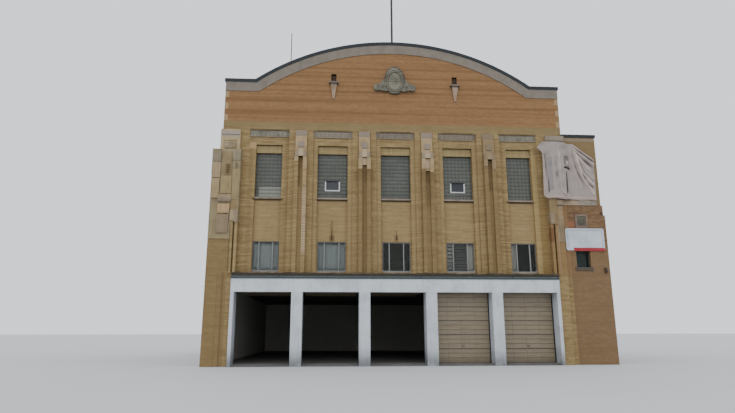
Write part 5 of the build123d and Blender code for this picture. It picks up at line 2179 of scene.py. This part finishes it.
@dataclass
class Tarpaulin(SubAssembly):
    """The sheet hung over the right corner: folds fan from its upper edge to its slack side."""

    left: float = 8.02
    right: float = 11.1
    top_z: float = 11.9
    base_z: float = 8.67
    cut_start: float = 9.96
    cut_depth: float = 0.9
    path: tuple[tuple[float, float], ...] = ((9.02, -0.36), (9.44, -0.225), (9.64, -0.025))
    slack: float = 0.05
    thickness: float = 0.004
    folds: tuple[Fold, ...] = (
        Fold((8.2, 11.1), (8.22, 9.8), 0.045, -0.045),
        Fold((8.3, 9.8), (8.31, 9.02), 0.035, -0.06),
        Fold((8.62, 11.1), (8.64, 9.3), 0.05, 0.022),
        Fold((8.07, 8.95), (8.02, 10.95), 0.05, 0.035),
        Fold((8.1, 8.76), (11.02, 8.78), 0.05, 0.045),
        Fold((9.3, 11.12), (9.62, 11.12), 0.03, -0.04),
        Fold((9.33, 11.05), (9.31, 10.6), 0.03, -0.04),
        Fold((9.5, 10.86), (9.53, 10.64), 0.08, 0.09),
        Fold((9.27, 10.45), (9.66, 10.47), 0.05, -0.12),
        Fold((9.4, 10.2), (9.38, 9.08), 0.04, -0.12),
        Fold((8.96, 9.3), (9.16, 8.98), 0.05, 0.05),
        Fold((9.16, 8.98), (9.55, 8.84), 0.05, 0.05),
        Fold((9.96, 11.8), (11.1, 10.98), 0.05, 0.05),
        Fold((10.05, 11.66), (11.1, 10.86), 0.045, -0.05),
        Fold((9.98, 11.64), (11.08, 10.72), 0.06, 0.07),
        Fold((10.0, 11.46), (11.02, 10.56), 0.06, -0.04),
        Fold((10.02, 11.5), (10.34, 10.34), 0.08, 0.06),
        Fold((10.34, 10.34), (10.98, 9.56), 0.08, 0.07),
        Fold((10.2, 11.0), (10.54, 10.2), 0.06, -0.05),
        Fold((10.54, 10.2), (10.98, 9.72), 0.06, -0.045),
        Fold((10.12, 10.9), (10.4, 9.95), 0.05, 0.06),
        Fold((10.4, 9.95), (10.84, 9.22), 0.07, 0.055),
        Fold((10.28, 10.5), (10.6, 9.72), 0.05, -0.05),
        Fold((10.6, 9.72), (10.98, 9.36), 0.05, -0.05),
        Fold((9.72, 11.6), (10.05, 9.2), 0.07, 0.03),
        Fold((9.86, 11.4), (10.14, 10.1), 0.05, -0.035),
        Fold((10.1, 11.34), (10.86, 10.3), 0.06, 0.055),
        Fold((10.12, 10.3), (10.46, 9.5), 0.05, -0.035),
        Fold((9.98, 10.6), (10.3, 8.95), 0.07, 0.035),
        Fold((10.6, 9.6), (10.98, 8.95), 0.06, 0.05),
        Fold((8.78, 11.2), (8.84, 9.9), 0.05, -0.02),
        Fold((9.0, 11.7), (8.98, 8.9), 0.06, 0.03),
    )

    def outline(self, share: float, rise: float) -> tuple[float, float]:
        """Give the X and Z of one place of the sheet.

        Args:
            share: the place along the width, from 0 to 1.
            rise: the place up the sheet, from 0 to 1.

        Returns:
            X and height.
        """
        near = self.left + share * (self.right - self.left)
        beyond = max(0.0, near - self.cut_start) / (self.right - self.cut_start)
        top = self.top_z - self.cut_depth * beyond
        low = self.base_z + 0.02 * math.sin(near * 6.0) + 0.24 * math.exp(-share / 0.03)
        z = low + rise * (top - low)
        flap = 0.26 * math.exp(-(((z - 11.56) / 0.2) ** 2)) - 0.03 * (z - 10.0)
        taper = 0.05 * max(0.0, 10.4 - z) / 1.7
        return near - flap * (1 - share) ** 6 - taper * share**4, z

    def backing(self, x: float) -> float:
        """Give the Y of what the sheet lies on.

        Args:
            x: the place's X.

        Returns:
            The Y of the head, of the wing's wall or of the slope between them.
        """
        if x <= self.path[0][0]:
            return self.path[0][1]
        for (x0, y0), (x1, y1) in zip(self.path, self.path[1:]):
            if x <= x1:
                return y0 + (y1 - y0) * (x - x0) / (x1 - x0)
        return self.path[-1][1]

    def build(self) -> None:
        """Hang the sheet and press its folds."""
        clear_selection()
        bpy.ops.mesh.primitive_grid_add(x_subdivisions=150, y_subdivisions=140, size=1)
        sheet = named(bpy.context.active_object, "tarpaulin")
        # Each point keeps its relief, from which the finish paints shade in the folds and highlight on
        # their crests.
        depth = sheet.data.attributes.new("fold", "FLOAT", "POINT")
        for index, vertex in enumerate(sheet.data.vertices):
            x, z = self.outline(vertex.co.x + 0.5, vertex.co.y + 0.5)
            relief = sum(fold.at(x, z) for fold in self.folds)
            relief += 0.012 * math.sin(x * 5.3 + z * 2.1) + 0.007 * math.sin(z * 9.0 - x * 4.0)
            depth.data[index].value = relief
            vertex.co = Vector((x, self.backing(x) - max(0.0, self.slack + relief), z))
        edit_all(sheet)
        bpy.ops.mesh.normals_make_consistent(inside=False)
        leave_edit()
        with_modifier(sheet, "SOLIDIFY", thickness=self.thickness, offset=-1)
        bpy.ops.object.shade_smooth()
        mount(sheet, self.finishes.tarp)
        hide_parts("tarp")


@dataclass
class RoofDetail(SubAssembly):
    """The mast's fittings."""

    mast_y: float = 1.1
    foot_z: float = 17.75
    cleat_z: float = 18.3
    truck_z: float = 22.86

    def build(self) -> None:
        """Build the mast's collar, cleat and truck."""
        y = self.mast_y
        cleat = rod("cleat", (-0.02, y - 0.08, self.cleat_z), (0.02, y - 0.08, self.cleat_z), 0.012)
        truck = rod("truck", (0, y, self.truck_z), (0, y, self.truck_z + 0.07), 0.085, 20)
        collar = rod("collar", (0, y, self.foot_z), (0, y, self.foot_z + 0.05), 0.1, 24)
        mount(joined("mast_fittings", [cleat, truck, collar]), self.finishes.steel)


@dataclass
class WallIrons(SubAssembly):
    """Small rusty irons left in the brick over the lower windows."""

    places: tuple[Point, ...] = ((-3.42, 6.36, 6.62), (0.02, 6.4, 6.56))
    stem_y: float = 0.125
    stem_length: float = 0.35

    def build(self) -> None:
        """Fix the irons, each with a stem above it."""
        irons = []
        for x, low, high in self.places:
            irons.append(block("iron", (x - 0.03, 0.08, low), (x + 0.03, 0.145, high), 0.006))
            top = (x, self.stem_y, high + self.stem_length)
            irons.append(rod("stem", (x, self.stem_y, high - 0.02), top, 0.009))
        mount(joined("wall_irons", irons), self.finishes.iron)


@dataclass
class Stage:
    """Floor, light and camera. None of it belongs to the station."""

    eye: Point = (-3.36, -28.5, 1.65)
    yaw: float = 3.66
    pitch: float = 12.88
    roll: float = 0.07
    lens: float = 26.89
    key_place: Point = (-12.0, -30.0, 34.0)
    key_target: Point = (0.0, 0.0, 6.0)

    def floor(self) -> None:
        """Lay a plain pale floor."""
        clear_selection()
        bpy.ops.mesh.primitive_plane_add(size=900, location=(0, 0, -0.002))
        ground = named(bpy.context.active_object, "stage_floor")
        graph = Graph("stage_floor")
        graph.colour = graph.tones(graph.cloud(0.15, 3.0), ((0.56, 0.57, 0.58), (0.62, 0.63, 0.64)))
        dress(ground, graph.finish(0.9, specular=0.2))

    def light(self) -> None:
        """Set an overcast sky and a broad soft key."""
        world = bpy.data.worlds.new("soft_sky")
        bpy.context.scene.world = world
        world.use_nodes = True
        background = world.node_tree.nodes["Background"]
        background.inputs["Color"].default_value = (0.84, 0.88, 0.93, 1.0)
        background.inputs["Strength"].default_value = 1.4
        clear_selection()
        bpy.ops.object.light_add(type="SUN", location=self.key_place)
        key = bpy.context.active_object
        key.name = "soft_key"
        key.data.energy = 0.6
        key.data.angle = math.radians(70)
        key.data.color = (1.0, 0.985, 0.96)
        aim = Vector(self.key_target) - Vector(self.key_place)
        key.rotation_euler = aim.to_track_quat("-Z", "Y").to_euler()

    def camera(self) -> None:
        """Stand at the photograph's place, at eye height, looking up at the facade."""
        data = bpy.data.cameras.new("station_camera")
        camera = bpy.data.objects.new("station_camera", data)
        bpy.context.scene.collection.objects.link(camera)
        data.sensor_width = 36.0
        data.lens = self.lens
        data.clip_end = 2000
        camera.location = self.eye
        turn = Matrix.Rotation(math.radians(-self.yaw), 3, "Z")
        tilt = Matrix.Rotation(math.radians(90 + self.pitch), 3, "X")
        roll = Matrix.Rotation(math.radians(-self.roll), 3, "Z")
        camera.rotation_euler = (turn @ tilt @ roll).to_euler()
        bpy.context.scene.camera = camera

    def build(self) -> None:
        """Set the stage."""
        self.floor()
        self.light()
        self.camera()


def main() -> None:
    """Build the station in order and keep its sizes."""
    logging.basicConfig(level=logging.INFO, format="%(name)s: %(message)s")
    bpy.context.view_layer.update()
    finishes = Finishes()
    for kind in (
        FrameFinish,
        GlassBlocks,
        SoldierLintels,
        HeadStones,
        FriezeCarving,
        Cartouche,
        VentGrilles,
        CopingSeams,
        Portal,
        WindowDressing,
        DoorHardware,
        WingFront,
        Tarpaulin,
        RoofDetail,
        WallIrons,
    ):
        kind(finishes).build()
        LOG.info("%s done", kind.__name__)
    Stage().build()


if __name__ == "__main__":
    main()
